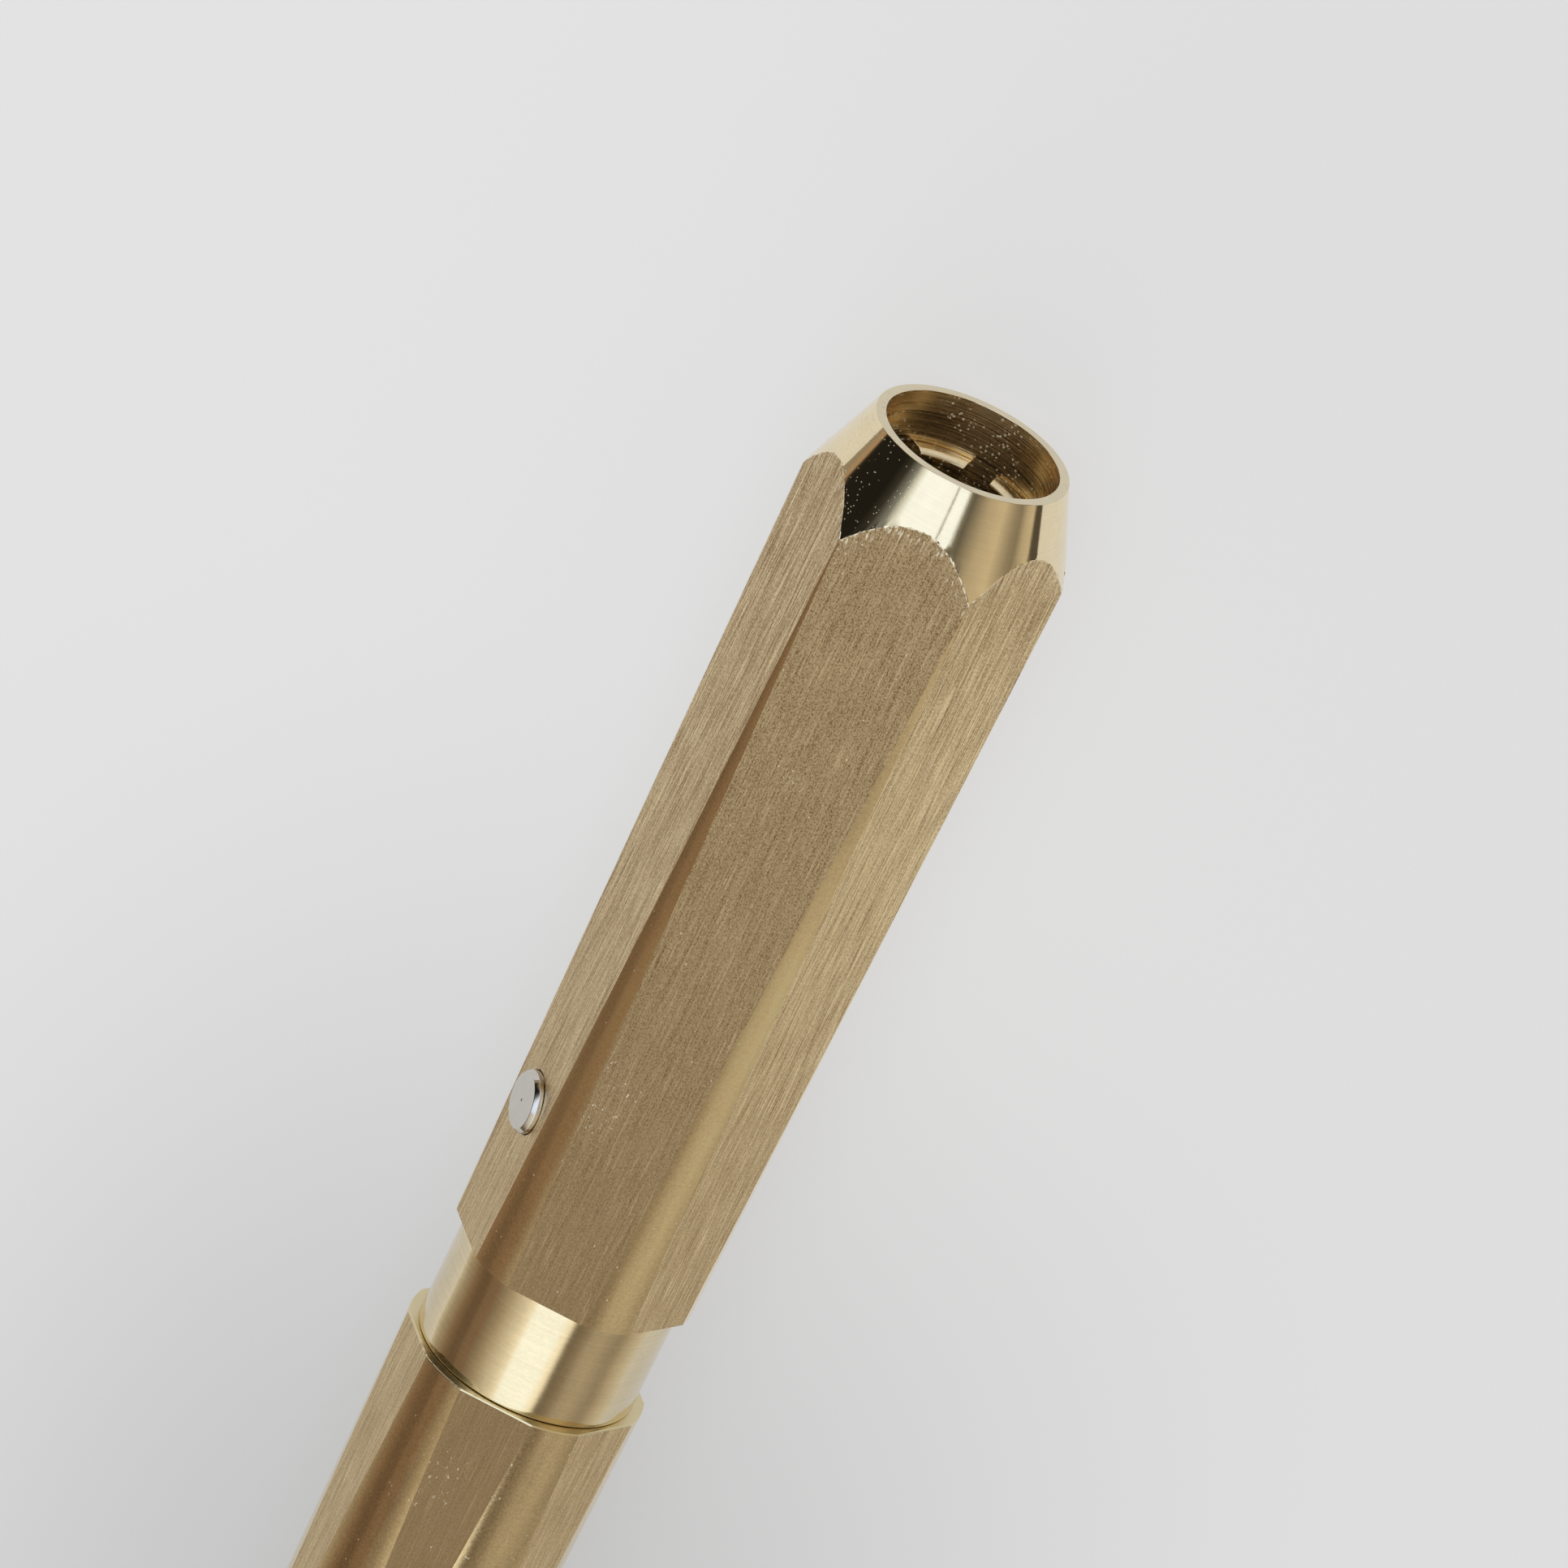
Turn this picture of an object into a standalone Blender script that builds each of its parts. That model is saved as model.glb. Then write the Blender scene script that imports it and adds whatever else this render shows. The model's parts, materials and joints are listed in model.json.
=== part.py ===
"""Pencil extender: a brass clutch holder for short pencils.

Two hexagonal barrels screw onto a round collar. A slotted collet sits in the
front barrel. A steel button presses on a cam cone, which pushes the collet
forward so that its jaws let go; a spring draws it back into its seat.

Stations run back from the mouth rim along the tool's axis, and angles about
the axis start at the top flat and turn towards +Y.
"""

import bpy
import bmesh
from math import cos, pi, radians, sin, sqrt, tan

MM = 0.001

# Collet and the bore that guides it
SOCKET_RADIUS = 3.85 * MM
COLLET_WALL = 0.35 * MM
RUNNING_CLEARANCE = 0.10 * MM
TIP_SETBACK = 2.80 * MM
TIP_CHAMFER = 0.05 * MM
TIP_LAND = 0.45 * MM
LIP_HEIGHT = 0.30 * MM
LIP_LENGTH = 3.0 * MM
LIP_RUNOUT = 1.2 * MM
LEAD_IN_DEPTH = 0.20 * MM
HEAD_RISE = 0.20 * MM
HEAD_LENGTH = 1.60 * MM
SEAT_LENGTH = 2.00 * MM
JAW_COUNT = 6
SLOT_WIDTH = 1.45 * MM
SLOT_LENGTH = 20.0 * MM
SLOT_PHASE = radians(11.0)
COLLET_BASE = 3.0 * MM
COLLET_TO_CHAMBER = 2.0 * MM

# Front barrel
NOSE_BARREL_LENGTH = 48.8 * MM
RIM_WIDTH = 0.50 * MM
NOSE_HALF_ANGLE = radians(21.5)
CHAMBER_STEP = 0.75 * MM
CHAMBER_AHEAD = 2.44 * MM
BARREL_WALL = 0.95 * MM
NOSE_CORNER_RISE = 0.985 * MM
STOCK_TAPER = radians(0.75)
BORE_EDGE_BREAK = 0.20 * MM

# Button and the cam that it presses
BUTTON_PROUD = 0.445 * MM
BUTTON_RADIUS = 1.60 * MM
BUTTON_BEVEL_WIDTH = 0.17 * MM
BUTTON_BEVEL_DEPTH = 0.22 * MM
BUTTON_HOLE_CLEARANCE = 0.08 * MM
BUTTON_HOLE_CHAMFER = 0.08 * MM
BUTTON_ANGLE = radians(60.0)
BUTTON_STROKE = 0.80 * MM
FLANGE_RADIUS = 2.30 * MM
FLANGE_THICKNESS = 0.50 * MM
FLANGE_TO_TENON = 0.76 * MM
STEM_LENGTH = 0.45 * MM
TIP_RADIUS = 1.00 * MM
CAM_HALF_ANGLE = radians(25.0)
CAM_LEAD = 1.10 * MM
CAM_LAND = 1.00 * MM
CAM_GAP = 0.15 * MM

# Draw rod, spring and nut
ROD_RADIUS = 1.25 * MM
ROD_END_BREAK = 0.20 * MM
ROD_PROUD = 0.60 * MM
THREAD_CLEARANCE = 0.10 * MM
SPRING_WIRE = 0.50 * MM
SPRING_ROD_CLEARANCE = 1.10 * MM
SPRING_LENGTH = 11.0 * MM
SPRING_TURNS = 8
SPRING_POINTS_PER_TURN = 10
WASHER_OVERHANG = 0.45 * MM
WASHER_THICKNESS = 0.50 * MM
NUT_ACROSS_FLATS = 5.0 * MM
NUT_THICKNESS = 2.0 * MM

# Collar with its two tenons
COLLAR_BAND_LENGTH = 6.20 * MM
COLLAR_STEP = 0.235 * MM
TENON_LENGTH = 5.0 * MM
REAR_TENON_LENGTH = 6.0 * MM
TENON_CHAMFER = 0.40 * MM
BULKHEAD_THICKNESS = 2.0 * MM
WASHER_CLEARANCE = 0.60 * MM

# Rear barrel
REAR_BARREL_LENGTH = 75.0 * MM
REAR_CORNER_RISE = 0.315 * MM
REAR_EDGE_BREAK = 0.15 * MM
TAIL_SOLID_LENGTH = 13.0 * MM
TAIL_ROUND = 0.9 * MM
TENON_POCKET_GAP = 0.60 * MM
DRILL_POINT_ANGLE = radians(59.0)

# Gap between faces that meet
FACE_GAP = 0.15 * MM

# Facets
BARREL_SEGMENTS = 72
INNER_SEGMENTS = 48
SMALL_SEGMENTS = 32
ARC_STEPS = 6
CUT_MARGIN = 2.0 * MM
SMOOTH_ANGLE = radians(25.0)

# Radii that follow from the collet outwards
HEX_SIDES = 6
BODY_RADIUS = SOCKET_RADIUS + COLLET_WALL
HEAD_RADIUS = BODY_RADIUS + HEAD_RISE
LIP_RADIUS = SOCKET_RADIUS - LIP_HEIGHT
GUIDE_RADIUS = BODY_RADIUS + RUNNING_CLEARANCE
MOUTH_RADIUS = HEAD_RADIUS + RUNNING_CLEARANCE
RIM_RADIUS = MOUTH_RADIUS + RIM_WIDTH
CHAMBER_RADIUS = GUIDE_RADIUS + CHAMBER_STEP
APOTHEM = CHAMBER_RADIUS + BARREL_WALL
TENON_RADIUS = CHAMBER_RADIUS - RUNNING_CLEARANCE
COLLAR_RADIUS = APOTHEM - COLLAR_STEP
SPRING_RADIUS = ROD_RADIUS + SPRING_ROD_CLEARANCE + SPRING_WIRE / 2
WASHER_RADIUS = SPRING_RADIUS + SPRING_WIRE / 2 + WASHER_OVERHANG
COLLAR_BORE_RADIUS = WASHER_RADIUS + WASHER_CLEARANCE

# Stations that follow from the mouth backwards
COLLAR_FRONT = NOSE_BARREL_LENGTH + FACE_GAP
REAR_FRONT = NOSE_BARREL_LENGTH + COLLAR_BAND_LENGTH
COLLAR_BACK = REAR_FRONT - FACE_GAP
OVERALL_LENGTH = REAR_FRONT + REAR_BARREL_LENGTH
TENON_FRONT = NOSE_BARREL_LENGTH - TENON_LENGTH
TENON_BACK = REAR_FRONT + REAR_TENON_LENGTH
BUTTON_STATION = TENON_FRONT - FLANGE_TO_TENON - FLANGE_RADIUS
CHAMBER_FRONT = BUTTON_STATION - FLANGE_RADIUS - CHAMBER_AHEAD
COLLET_END = CHAMBER_FRONT - COLLET_TO_CHAMBER
SOCKET_FLOOR = COLLET_END - COLLET_BASE
HEAD_END = TIP_SETBACK + HEAD_LENGTH
SPRING_FRONT = TENON_FRONT + BULKHEAD_THICKNESS + FACE_GAP
SPRING_BACK = SPRING_FRONT + SPRING_LENGTH
WASHER_FRONT = SPRING_BACK + FACE_GAP
NUT_FRONT = WASHER_FRONT + WASHER_THICKNESS + FACE_GAP
ROD_END = NUT_FRONT + NUT_THICKNESS + ROD_PROUD

# Button and cam: the tip's ball rests one gap above the cone
FLANGE_TOP = sqrt(CHAMBER_RADIUS ** 2 - FLANGE_RADIUS ** 2) - RUNNING_CLEARANCE
FLANGE_BOTTOM = FLANGE_TOP - FLANGE_THICKNESS
TIP_CENTRE = FLANGE_BOTTOM - STEM_LENGTH
CAM_RADIUS = TIP_CENTRE - (TIP_RADIUS + CAM_GAP) / cos(CAM_HALF_ANGLE)
CAM_TOUCH = BUTTON_STATION - TIP_RADIUS * sin(CAM_HALF_ANGLE)
CAM_FRONT = CAM_TOUCH - CAM_LEAD
CAM_FRONT_RADIUS = CAM_RADIUS + (BUTTON_STATION - CAM_FRONT) * tan(CAM_HALF_ANGLE)
CAM_BACK = BUTTON_STATION + (CAM_RADIUS - ROD_RADIUS) / tan(CAM_HALF_ANGLE)


def clear_scene():
    """Remove every object that the scene starts with."""
    for item in list(bpy.data.objects):
        bpy.data.objects.remove(item, do_unlink=True)


def make_material(name, colour, roughness, metallic):
    """Return a Principled material with one colour."""
    material = bpy.data.materials.new(name)
    material.use_nodes = True
    shader = material.node_tree.nodes["Principled BSDF"]
    shader.inputs["Base Color"].default_value = (*colour, 1.0)
    shader.inputs["Roughness"].default_value = roughness
    shader.inputs["Metallic"].default_value = metallic
    return material


def add_empty(name, parent, location, rotation):
    """Add an empty that carries the pieces of one axis."""
    empty = bpy.data.objects.new(name, None)
    empty.parent = parent
    empty.location = location
    empty.rotation_euler = rotation
    bpy.context.scene.collection.objects.link(empty)
    return empty


def add_object(name, data, parent, material):
    """Link a mesh or curve as a named piece under its parent."""
    piece = bpy.data.objects.new(name, data)
    piece.parent = parent
    if material is not None:
        data.materials.append(material)
    bpy.context.scene.collection.objects.link(piece)
    return piece


def turned_mesh(name, outline, segments, turn=0.0):
    """Spin an outline of (radius, height) points about Z into a closed body.

    The outline closes on itself. An edge that lies on the axis is left out,
    so that solid ends close at their centre.
    """
    mesh = bpy.data.meshes.new(name)
    body = bmesh.new()
    start = [(radius * cos(turn), radius * sin(turn), height) for radius, height in outline]
    points = [body.verts.new(place) for place in start]
    for index, (radius, _) in enumerate(outline):
        following = (index + 1) % len(outline)
        if radius > 0.0 or outline[following][0] > 0.0:
            body.edges.new((points[index], points[following]))
    bmesh.ops.spin(
        body,
        geom=body.verts[:] + body.edges[:],
        cent=(0.0, 0.0, 0.0),
        axis=(0.0, 0.0, 1.0),
        angle=2.0 * pi,
        steps=segments,
        use_merge=True,
    )
    bmesh.ops.remove_doubles(body, verts=body.verts[:], dist=MM * 1e-4)
    bmesh.ops.recalc_face_normals(body, faces=body.faces[:])
    body.to_mesh(mesh)
    body.free()
    mesh.shade_smooth()
    mesh.set_sharp_from_angle(angle=SMOOTH_ANGLE)
    return mesh


def hexagon_mesh(name, apothem, front, back):
    """Return a hexagonal bar with one flat facing +X."""
    corner = apothem / cos(pi / HEX_SIDES)
    outline = [(0.0, front), (corner, front), (corner, back), (0.0, back)]
    return turned_mesh(name, outline, HEX_SIDES, turn=pi / HEX_SIDES)


def cut(piece, name, mesh, operation="DIFFERENCE", parent=None):
    """Cut a piece with a hidden body, or keep what lies inside that body."""
    cutter = add_object(name, mesh, parent or piece.parent, None)
    cutter.hide_render = True
    cutter.display_type = "WIRE"
    modifier = piece.modifiers.new(name, "BOOLEAN")
    modifier.operation = operation
    modifier.solver = "EXACT"
    modifier.object = cutter
    return cutter


def arc(centre_radius, centre_height, size, start, end):
    """Return the points of an arc in the (radius, height) plane."""
    angles = [start + (end - start) * step / ARC_STEPS for step in range(ARC_STEPS + 1)]
    return [(centre_radius + size * cos(a), centre_height + size * sin(a)) for a in angles]


def stock_radius(station, rise, front):
    """Return the turned radius of a barrel whose taper starts at its front."""
    return APOTHEM + rise - (station - front) * tan(STOCK_TAPER)


def build_nose_barrel(axis, button_axis, material):
    """Front barrel: hexagonal bar, turned cone, stepped bore and button hole."""
    cone = tan(NOSE_HALF_ANGLE)
    stock = APOTHEM + NOSE_CORNER_RISE
    cone_end = (stock - RIM_RADIUS) / (cone + tan(STOCK_TAPER))
    back = NOSE_BARREL_LENGTH
    outline = [
        (0.0, 0.0),
        (RIM_RADIUS, 0.0),
        (RIM_RADIUS + cone_end * cone, cone_end),
        (stock_radius(back, NOSE_CORNER_RISE, 0.0), back),
        (0.0, back),
    ]
    barrel = add_object("nose_barrel", turned_mesh("nose_barrel", outline, BARREL_SEGMENTS), axis, material)
    flats = hexagon_mesh("nose_flats", APOTHEM, -CUT_MARGIN, back + CUT_MARGIN)
    cut(barrel, "nose_flats", flats, "INTERSECT")
    seat_front = HEAD_END + RUNNING_CLEARANCE
    bore = [
        (0.0, -CUT_MARGIN),
        (MOUTH_RADIUS, -CUT_MARGIN),
        (MOUTH_RADIUS, seat_front),
        (GUIDE_RADIUS, seat_front + SEAT_LENGTH),
        (GUIDE_RADIUS, CHAMBER_FRONT),
        (CHAMBER_RADIUS, CHAMBER_FRONT + CHAMBER_STEP),
        (CHAMBER_RADIUS, back - BORE_EDGE_BREAK),
        (CHAMBER_RADIUS + BORE_EDGE_BREAK, back),
        (CHAMBER_RADIUS + BORE_EDGE_BREAK, back + CUT_MARGIN),
        (0.0, back + CUT_MARGIN),
    ]
    cut(barrel, "nose_bore", turned_mesh("nose_bore", bore, BARREL_SEGMENTS))
    hole = BUTTON_RADIUS + BUTTON_HOLE_CLEARANCE
    wall_inside = CHAMBER_RADIUS - CUT_MARGIN
    countersink = [
        (0.0, wall_inside),
        (hole, wall_inside),
        (hole, APOTHEM - BUTTON_HOLE_CHAMFER),
        (hole + BUTTON_HOLE_CHAMFER + CUT_MARGIN, APOTHEM + CUT_MARGIN),
        (0.0, APOTHEM + CUT_MARGIN),
    ]
    cut(barrel, "button_hole", turned_mesh("button_hole", countersink, SMALL_SEGMENTS), parent=button_axis)
    return barrel


def build_collet(axis, material):
    """Collet: thin sleeve with a flared head, inner lips, slots and a base."""
    land_outer = HEAD_RADIUS - TIP_CHAMFER
    land_inner = land_outer - TIP_LAND
    lip_end = TIP_SETBACK + LEAD_IN_DEPTH + LIP_LENGTH
    rod_hole = ROD_RADIUS + THREAD_CLEARANCE
    outline = [
        (land_inner, TIP_SETBACK),
        (land_outer, TIP_SETBACK),
        (HEAD_RADIUS, TIP_SETBACK + TIP_CHAMFER),
        (HEAD_RADIUS, HEAD_END),
        (BODY_RADIUS, HEAD_END + SEAT_LENGTH),
        (BODY_RADIUS, COLLET_END),
        (rod_hole, COLLET_END),
        (rod_hole, SOCKET_FLOOR),
        (SOCKET_RADIUS, SOCKET_FLOOR),
        (SOCKET_RADIUS, lip_end + LIP_RUNOUT),
        (LIP_RADIUS, lip_end),
        (LIP_RADIUS, TIP_SETBACK + LEAD_IN_DEPTH),
    ]
    collet = add_object("collet", turned_mesh("collet", outline, INNER_SEGMENTS), axis, material)
    for index in range(JAW_COUNT // 2):
        mesh = bpy.data.meshes.new("jaw_slot")
        plate = bmesh.new()
        bmesh.ops.create_cube(plate, size=1.0)
        length = SLOT_LENGTH + CUT_MARGIN
        size = (2.0 * (HEAD_RADIUS + CUT_MARGIN), SLOT_WIDTH, length)
        bmesh.ops.scale(plate, vec=size, verts=plate.verts[:])
        plate.to_mesh(mesh)
        plate.free()
        slot = cut(collet, f"jaw_slot_{index + 1}", mesh)
        slot.location = (0.0, 0.0, TIP_SETBACK + SLOT_LENGTH - length / 2)
        slot.rotation_euler = (0.0, 0.0, SLOT_PHASE + 2.0 * pi * index / JAW_COUNT)
    return collet


def build_draw_rod(axis, material):
    """Rod with the cam cone turned on it; its ends carry plain thread lands."""
    front = SOCKET_FLOOR + FACE_GAP
    outline = [
        (0.0, front),
        (ROD_RADIUS - ROD_END_BREAK, front),
        (ROD_RADIUS, front + ROD_END_BREAK),
        (ROD_RADIUS, CAM_FRONT - CAM_LAND),
        (CAM_FRONT_RADIUS, CAM_FRONT - CAM_LAND),
        (CAM_FRONT_RADIUS, CAM_FRONT),
        (ROD_RADIUS, CAM_BACK),
        (ROD_RADIUS, ROD_END - ROD_END_BREAK),
        (ROD_RADIUS - ROD_END_BREAK, ROD_END),
        (0.0, ROD_END),
    ]
    return add_object("draw_rod", turned_mesh("draw_rod", outline, SMALL_SEGMENTS), axis, material)


def build_button(button_axis, material):
    """Button: bevelled head through the flat, inner flange and a ball tip."""
    face = APOTHEM + BUTTON_PROUD
    outline = [
        (0.0, face),
        (BUTTON_RADIUS - BUTTON_BEVEL_WIDTH, face),
        (BUTTON_RADIUS, face - BUTTON_BEVEL_DEPTH),
        (BUTTON_RADIUS, FLANGE_TOP),
        (FLANGE_RADIUS, FLANGE_TOP),
        (FLANGE_RADIUS, FLANGE_BOTTOM),
        (TIP_RADIUS, FLANGE_BOTTOM),
    ]
    ball = arc(0.0, TIP_CENTRE, TIP_RADIUS, 0.0, -pi / 2)
    outline += ball[:-1]
    outline.append((0.0, TIP_CENTRE - TIP_RADIUS))
    return add_object("button", turned_mesh("button", outline, SMALL_SEGMENTS), button_axis, material)


def build_collar(axis, material):
    """Collar: turned band with a tenon at each end and a bulkhead for the spring."""
    rod_hole = ROD_RADIUS + RUNNING_CLEARANCE
    outline = [
        (rod_hole, TENON_FRONT),
        (TENON_RADIUS - TENON_CHAMFER, TENON_FRONT),
        (TENON_RADIUS, TENON_FRONT + TENON_CHAMFER),
        (TENON_RADIUS, COLLAR_FRONT),
        (COLLAR_RADIUS, COLLAR_FRONT),
        (COLLAR_RADIUS, COLLAR_BACK),
        (TENON_RADIUS, COLLAR_BACK),
        (TENON_RADIUS, TENON_BACK - TENON_CHAMFER),
        (TENON_RADIUS - TENON_CHAMFER, TENON_BACK),
        (COLLAR_BORE_RADIUS, TENON_BACK),
        (COLLAR_BORE_RADIUS, TENON_FRONT + BULKHEAD_THICKNESS),
        (rod_hole, TENON_FRONT + BULKHEAD_THICKNESS),
    ]
    return add_object("collar", turned_mesh("collar", outline, INNER_SEGMENTS), axis, material)


def build_return_spring(axis, material):
    """Compression spring round the rod, as one unbroken wire."""
    curve = bpy.data.curves.new("return_spring", "CURVE")
    curve.dimensions = "3D"
    curve.bevel_depth = SPRING_WIRE / 2
    curve.bevel_resolution = 1
    curve.use_fill_caps = True
    count = SPRING_TURNS * SPRING_POINTS_PER_TURN + 1
    climb = SPRING_LENGTH - SPRING_WIRE
    wire = curve.splines.new("POLY")
    wire.points.add(count - 1)
    for index, point in enumerate(wire.points):
        share = index / (count - 1)
        angle = 2.0 * pi * SPRING_TURNS * share
        height = SPRING_FRONT + SPRING_WIRE / 2 + climb * share
        point.co = (SPRING_RADIUS * cos(angle), SPRING_RADIUS * sin(angle), height, 1.0)
    places = [point.co.xyz for point in wire.points]
    apart = SPRING_POINTS_PER_TURN // 2
    pairs = ((a, b) for a in range(count) for b in range(a + apart, count))
    nearest = min((places[a] - places[b]).length for a, b in pairs)
    print(f"return_spring least gap to itself: {(nearest - SPRING_WIRE) / MM:.2f} mm")
    return add_object("return_spring", curve, axis, material)


def build_spring_washer(axis, material):
    """Flat ring that seats the rear end of the spring."""
    hole = ROD_RADIUS + THREAD_CLEARANCE
    back = WASHER_FRONT + WASHER_THICKNESS
    outline = [(hole, WASHER_FRONT), (WASHER_RADIUS, WASHER_FRONT), (WASHER_RADIUS, back), (hole, back)]
    return add_object("spring_washer", turned_mesh("spring_washer", outline, SMALL_SEGMENTS), axis, material)


def build_spring_nut(axis, material):
    """Hexagonal nut on the rear end of the rod."""
    back = NUT_FRONT + NUT_THICKNESS
    blank = hexagon_mesh("spring_nut", NUT_ACROSS_FLATS / 2, NUT_FRONT, back)
    nut = add_object("spring_nut", blank, axis, material)
    hole = ROD_RADIUS + THREAD_CLEARANCE
    outline = [
        (0.0, NUT_FRONT - CUT_MARGIN),
        (hole, NUT_FRONT - CUT_MARGIN),
        (hole, back + CUT_MARGIN),
        (0.0, back + CUT_MARGIN),
    ]
    cut(nut, "nut_hole", turned_mesh("nut_hole", outline, SMALL_SEGMENTS))
    return nut


def build_rear_barrel(axis, material):
    """Rear barrel: hexagonal at the front, turned round towards its tail."""
    front = REAR_FRONT
    back = OVERALL_LENGTH
    edge = front + REAR_EDGE_BREAK
    edge_radius = stock_radius(edge, REAR_CORNER_RISE, front)
    tail_radius = stock_radius(back - TAIL_ROUND, REAR_CORNER_RISE, front)
    outline = [
        (0.0, front),
        (edge_radius - REAR_EDGE_BREAK, front),
        (edge_radius, edge),
    ]
    outline += arc(tail_radius - TAIL_ROUND, back - TAIL_ROUND, TAIL_ROUND, 0.0, pi / 2)
    outline.append((0.0, back))
    mesh = turned_mesh("rear_barrel", outline, BARREL_SEGMENTS)
    barrel = add_object("rear_barrel", mesh, axis, material)
    flats = hexagon_mesh("rear_flats", APOTHEM, front - CUT_MARGIN, back + CUT_MARGIN)
    cut(barrel, "rear_flats", flats, "INTERSECT")
    pocket = TENON_BACK + TENON_POCKET_GAP
    bore_end = back - TAIL_SOLID_LENGTH
    bore = [
        (0.0, front - CUT_MARGIN),
        (CHAMBER_RADIUS + BORE_EDGE_BREAK, front - CUT_MARGIN),
        (CHAMBER_RADIUS + BORE_EDGE_BREAK, front),
        (CHAMBER_RADIUS, front + BORE_EDGE_BREAK),
        (CHAMBER_RADIUS, pocket),
        (COLLAR_BORE_RADIUS, pocket),
        (COLLAR_BORE_RADIUS, bore_end - COLLAR_BORE_RADIUS / tan(DRILL_POINT_ANGLE)),
        (0.0, bore_end),
    ]
    cut(barrel, "rear_bore", turned_mesh("rear_bore", bore, BARREL_SEGMENTS))
    return barrel


def main():
    """Build every piece along the tool's axis, lying on one flat."""
    clear_scene()
    brass = make_material("brushed_brass", (0.52, 0.40, 0.24), 0.38, 1.0)
    turned_brass = make_material("turned_brass", (0.62, 0.50, 0.30), 0.25, 1.0)
    collet_brass = make_material("collet_brass", (0.50, 0.36, 0.16), 0.30, 1.0)
    polished_steel = make_material("polished_steel", (0.62, 0.61, 0.60), 0.12, 1.0)
    spring_steel = make_material("spring_steel", (0.45, 0.45, 0.46), 0.30, 1.0)
    mouth = (OVERALL_LENGTH / 2, 0.0, APOTHEM)
    axis = add_empty("tool_axis", None, mouth, (0.0, -pi / 2, 0.0))
    button_place = (0.0, 0.0, BUTTON_STATION)
    button_axis = add_empty("button_axis", axis, button_place, (0.0, pi / 2, BUTTON_ANGLE))
    build_nose_barrel(axis, button_axis, brass)
    build_collet(axis, collet_brass)
    build_draw_rod(axis, spring_steel)
    build_button(button_axis, polished_steel)
    build_collar(axis, turned_brass)
    build_return_spring(axis, spring_steel)
    build_spring_washer(axis, spring_steel)
    build_spring_nut(axis, spring_steel)
    build_rear_barrel(axis, brass)


main()
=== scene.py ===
"""Looks of the pencil extender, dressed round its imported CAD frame.

Lengths in the classes are millimetres. Stations run back from the mouth rim along
the tool's axis, and angles about the axis start at the top flat and turn towards +Y.
"""

import json
import logging
import math
from abc import ABC, abstractmethod
from dataclasses import dataclass, field
from enum import Enum, IntEnum
from typing import Any, Mapping, Sequence, Union

import bpy
import numpy as np
from mathutils import Matrix, Vector


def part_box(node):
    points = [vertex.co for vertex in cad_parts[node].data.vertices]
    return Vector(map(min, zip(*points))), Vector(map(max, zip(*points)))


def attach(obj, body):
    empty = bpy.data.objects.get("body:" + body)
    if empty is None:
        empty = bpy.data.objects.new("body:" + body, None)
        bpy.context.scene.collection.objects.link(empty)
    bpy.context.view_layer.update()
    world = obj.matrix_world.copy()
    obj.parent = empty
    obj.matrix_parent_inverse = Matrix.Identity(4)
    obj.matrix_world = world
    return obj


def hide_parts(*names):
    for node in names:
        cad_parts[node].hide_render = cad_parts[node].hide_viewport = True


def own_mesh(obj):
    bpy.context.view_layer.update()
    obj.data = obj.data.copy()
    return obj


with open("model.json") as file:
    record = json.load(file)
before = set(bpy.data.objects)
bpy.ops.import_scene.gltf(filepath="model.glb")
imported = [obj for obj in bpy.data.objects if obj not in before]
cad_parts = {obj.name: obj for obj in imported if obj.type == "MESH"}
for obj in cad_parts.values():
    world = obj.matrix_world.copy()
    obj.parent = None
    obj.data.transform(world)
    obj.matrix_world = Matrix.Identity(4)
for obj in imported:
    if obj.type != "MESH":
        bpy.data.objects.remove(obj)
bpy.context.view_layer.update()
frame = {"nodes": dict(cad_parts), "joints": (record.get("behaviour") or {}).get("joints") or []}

MM = 0.001
HEX_SIDES = 6
SECTOR = 2.0 * math.pi / HEX_SIDES
# Noise and tones lie about this value.
MIDDLE = 0.5
# A turned surface that reaches its axis is closed by a cap of this radius.
POLE = 0.02
# No edge is sharper than this many degrees.
ALL_SMOOTH = 180.0
LOG = logging.getLogger("pencil_extender")

Triple = tuple[float, float, float]
Colour = Triple
Span = tuple[float, float]
Number = Union[float, "Wire"]


class Wire:
    """A node's output socket that takes part in arithmetic."""

    def __init__(self, board: "Board", socket: bpy.types.NodeSocket) -> None:
        """Keep the socket and the board that it is on."""
        self.board = board
        self.socket = socket

    def __add__(self, other: Number) -> "Wire":
        """Return the sum."""
        return self.board.math("ADD", self, other)

    def __radd__(self, other: Number) -> "Wire":
        """Return the sum with the number first."""
        return self.board.math("ADD", other, self)

    def __sub__(self, other: Number) -> "Wire":
        """Return the difference."""
        return self.board.math("SUBTRACT", self, other)

    def __rsub__(self, other: Number) -> "Wire":
        """Return the difference with the number first."""
        return self.board.math("SUBTRACT", other, self)

    def __mul__(self, other: Number) -> "Wire":
        """Return the product."""
        return self.board.math("MULTIPLY", self, other)

    def __rmul__(self, other: Number) -> "Wire":
        """Return the product with the number first."""
        return self.board.math("MULTIPLY", other, self)

    def __truediv__(self, other: Number) -> "Wire":
        """Return the quotient."""
        return self.board.math("DIVIDE", self, other)

    def __rtruediv__(self, other: Number) -> "Wire":
        """Return the quotient with the number first."""
        return self.board.math("DIVIDE", other, self)

    def __abs__(self) -> "Wire":
        """Return the size without its sign."""
        return self.board.math("ABSOLUTE", self)


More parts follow.
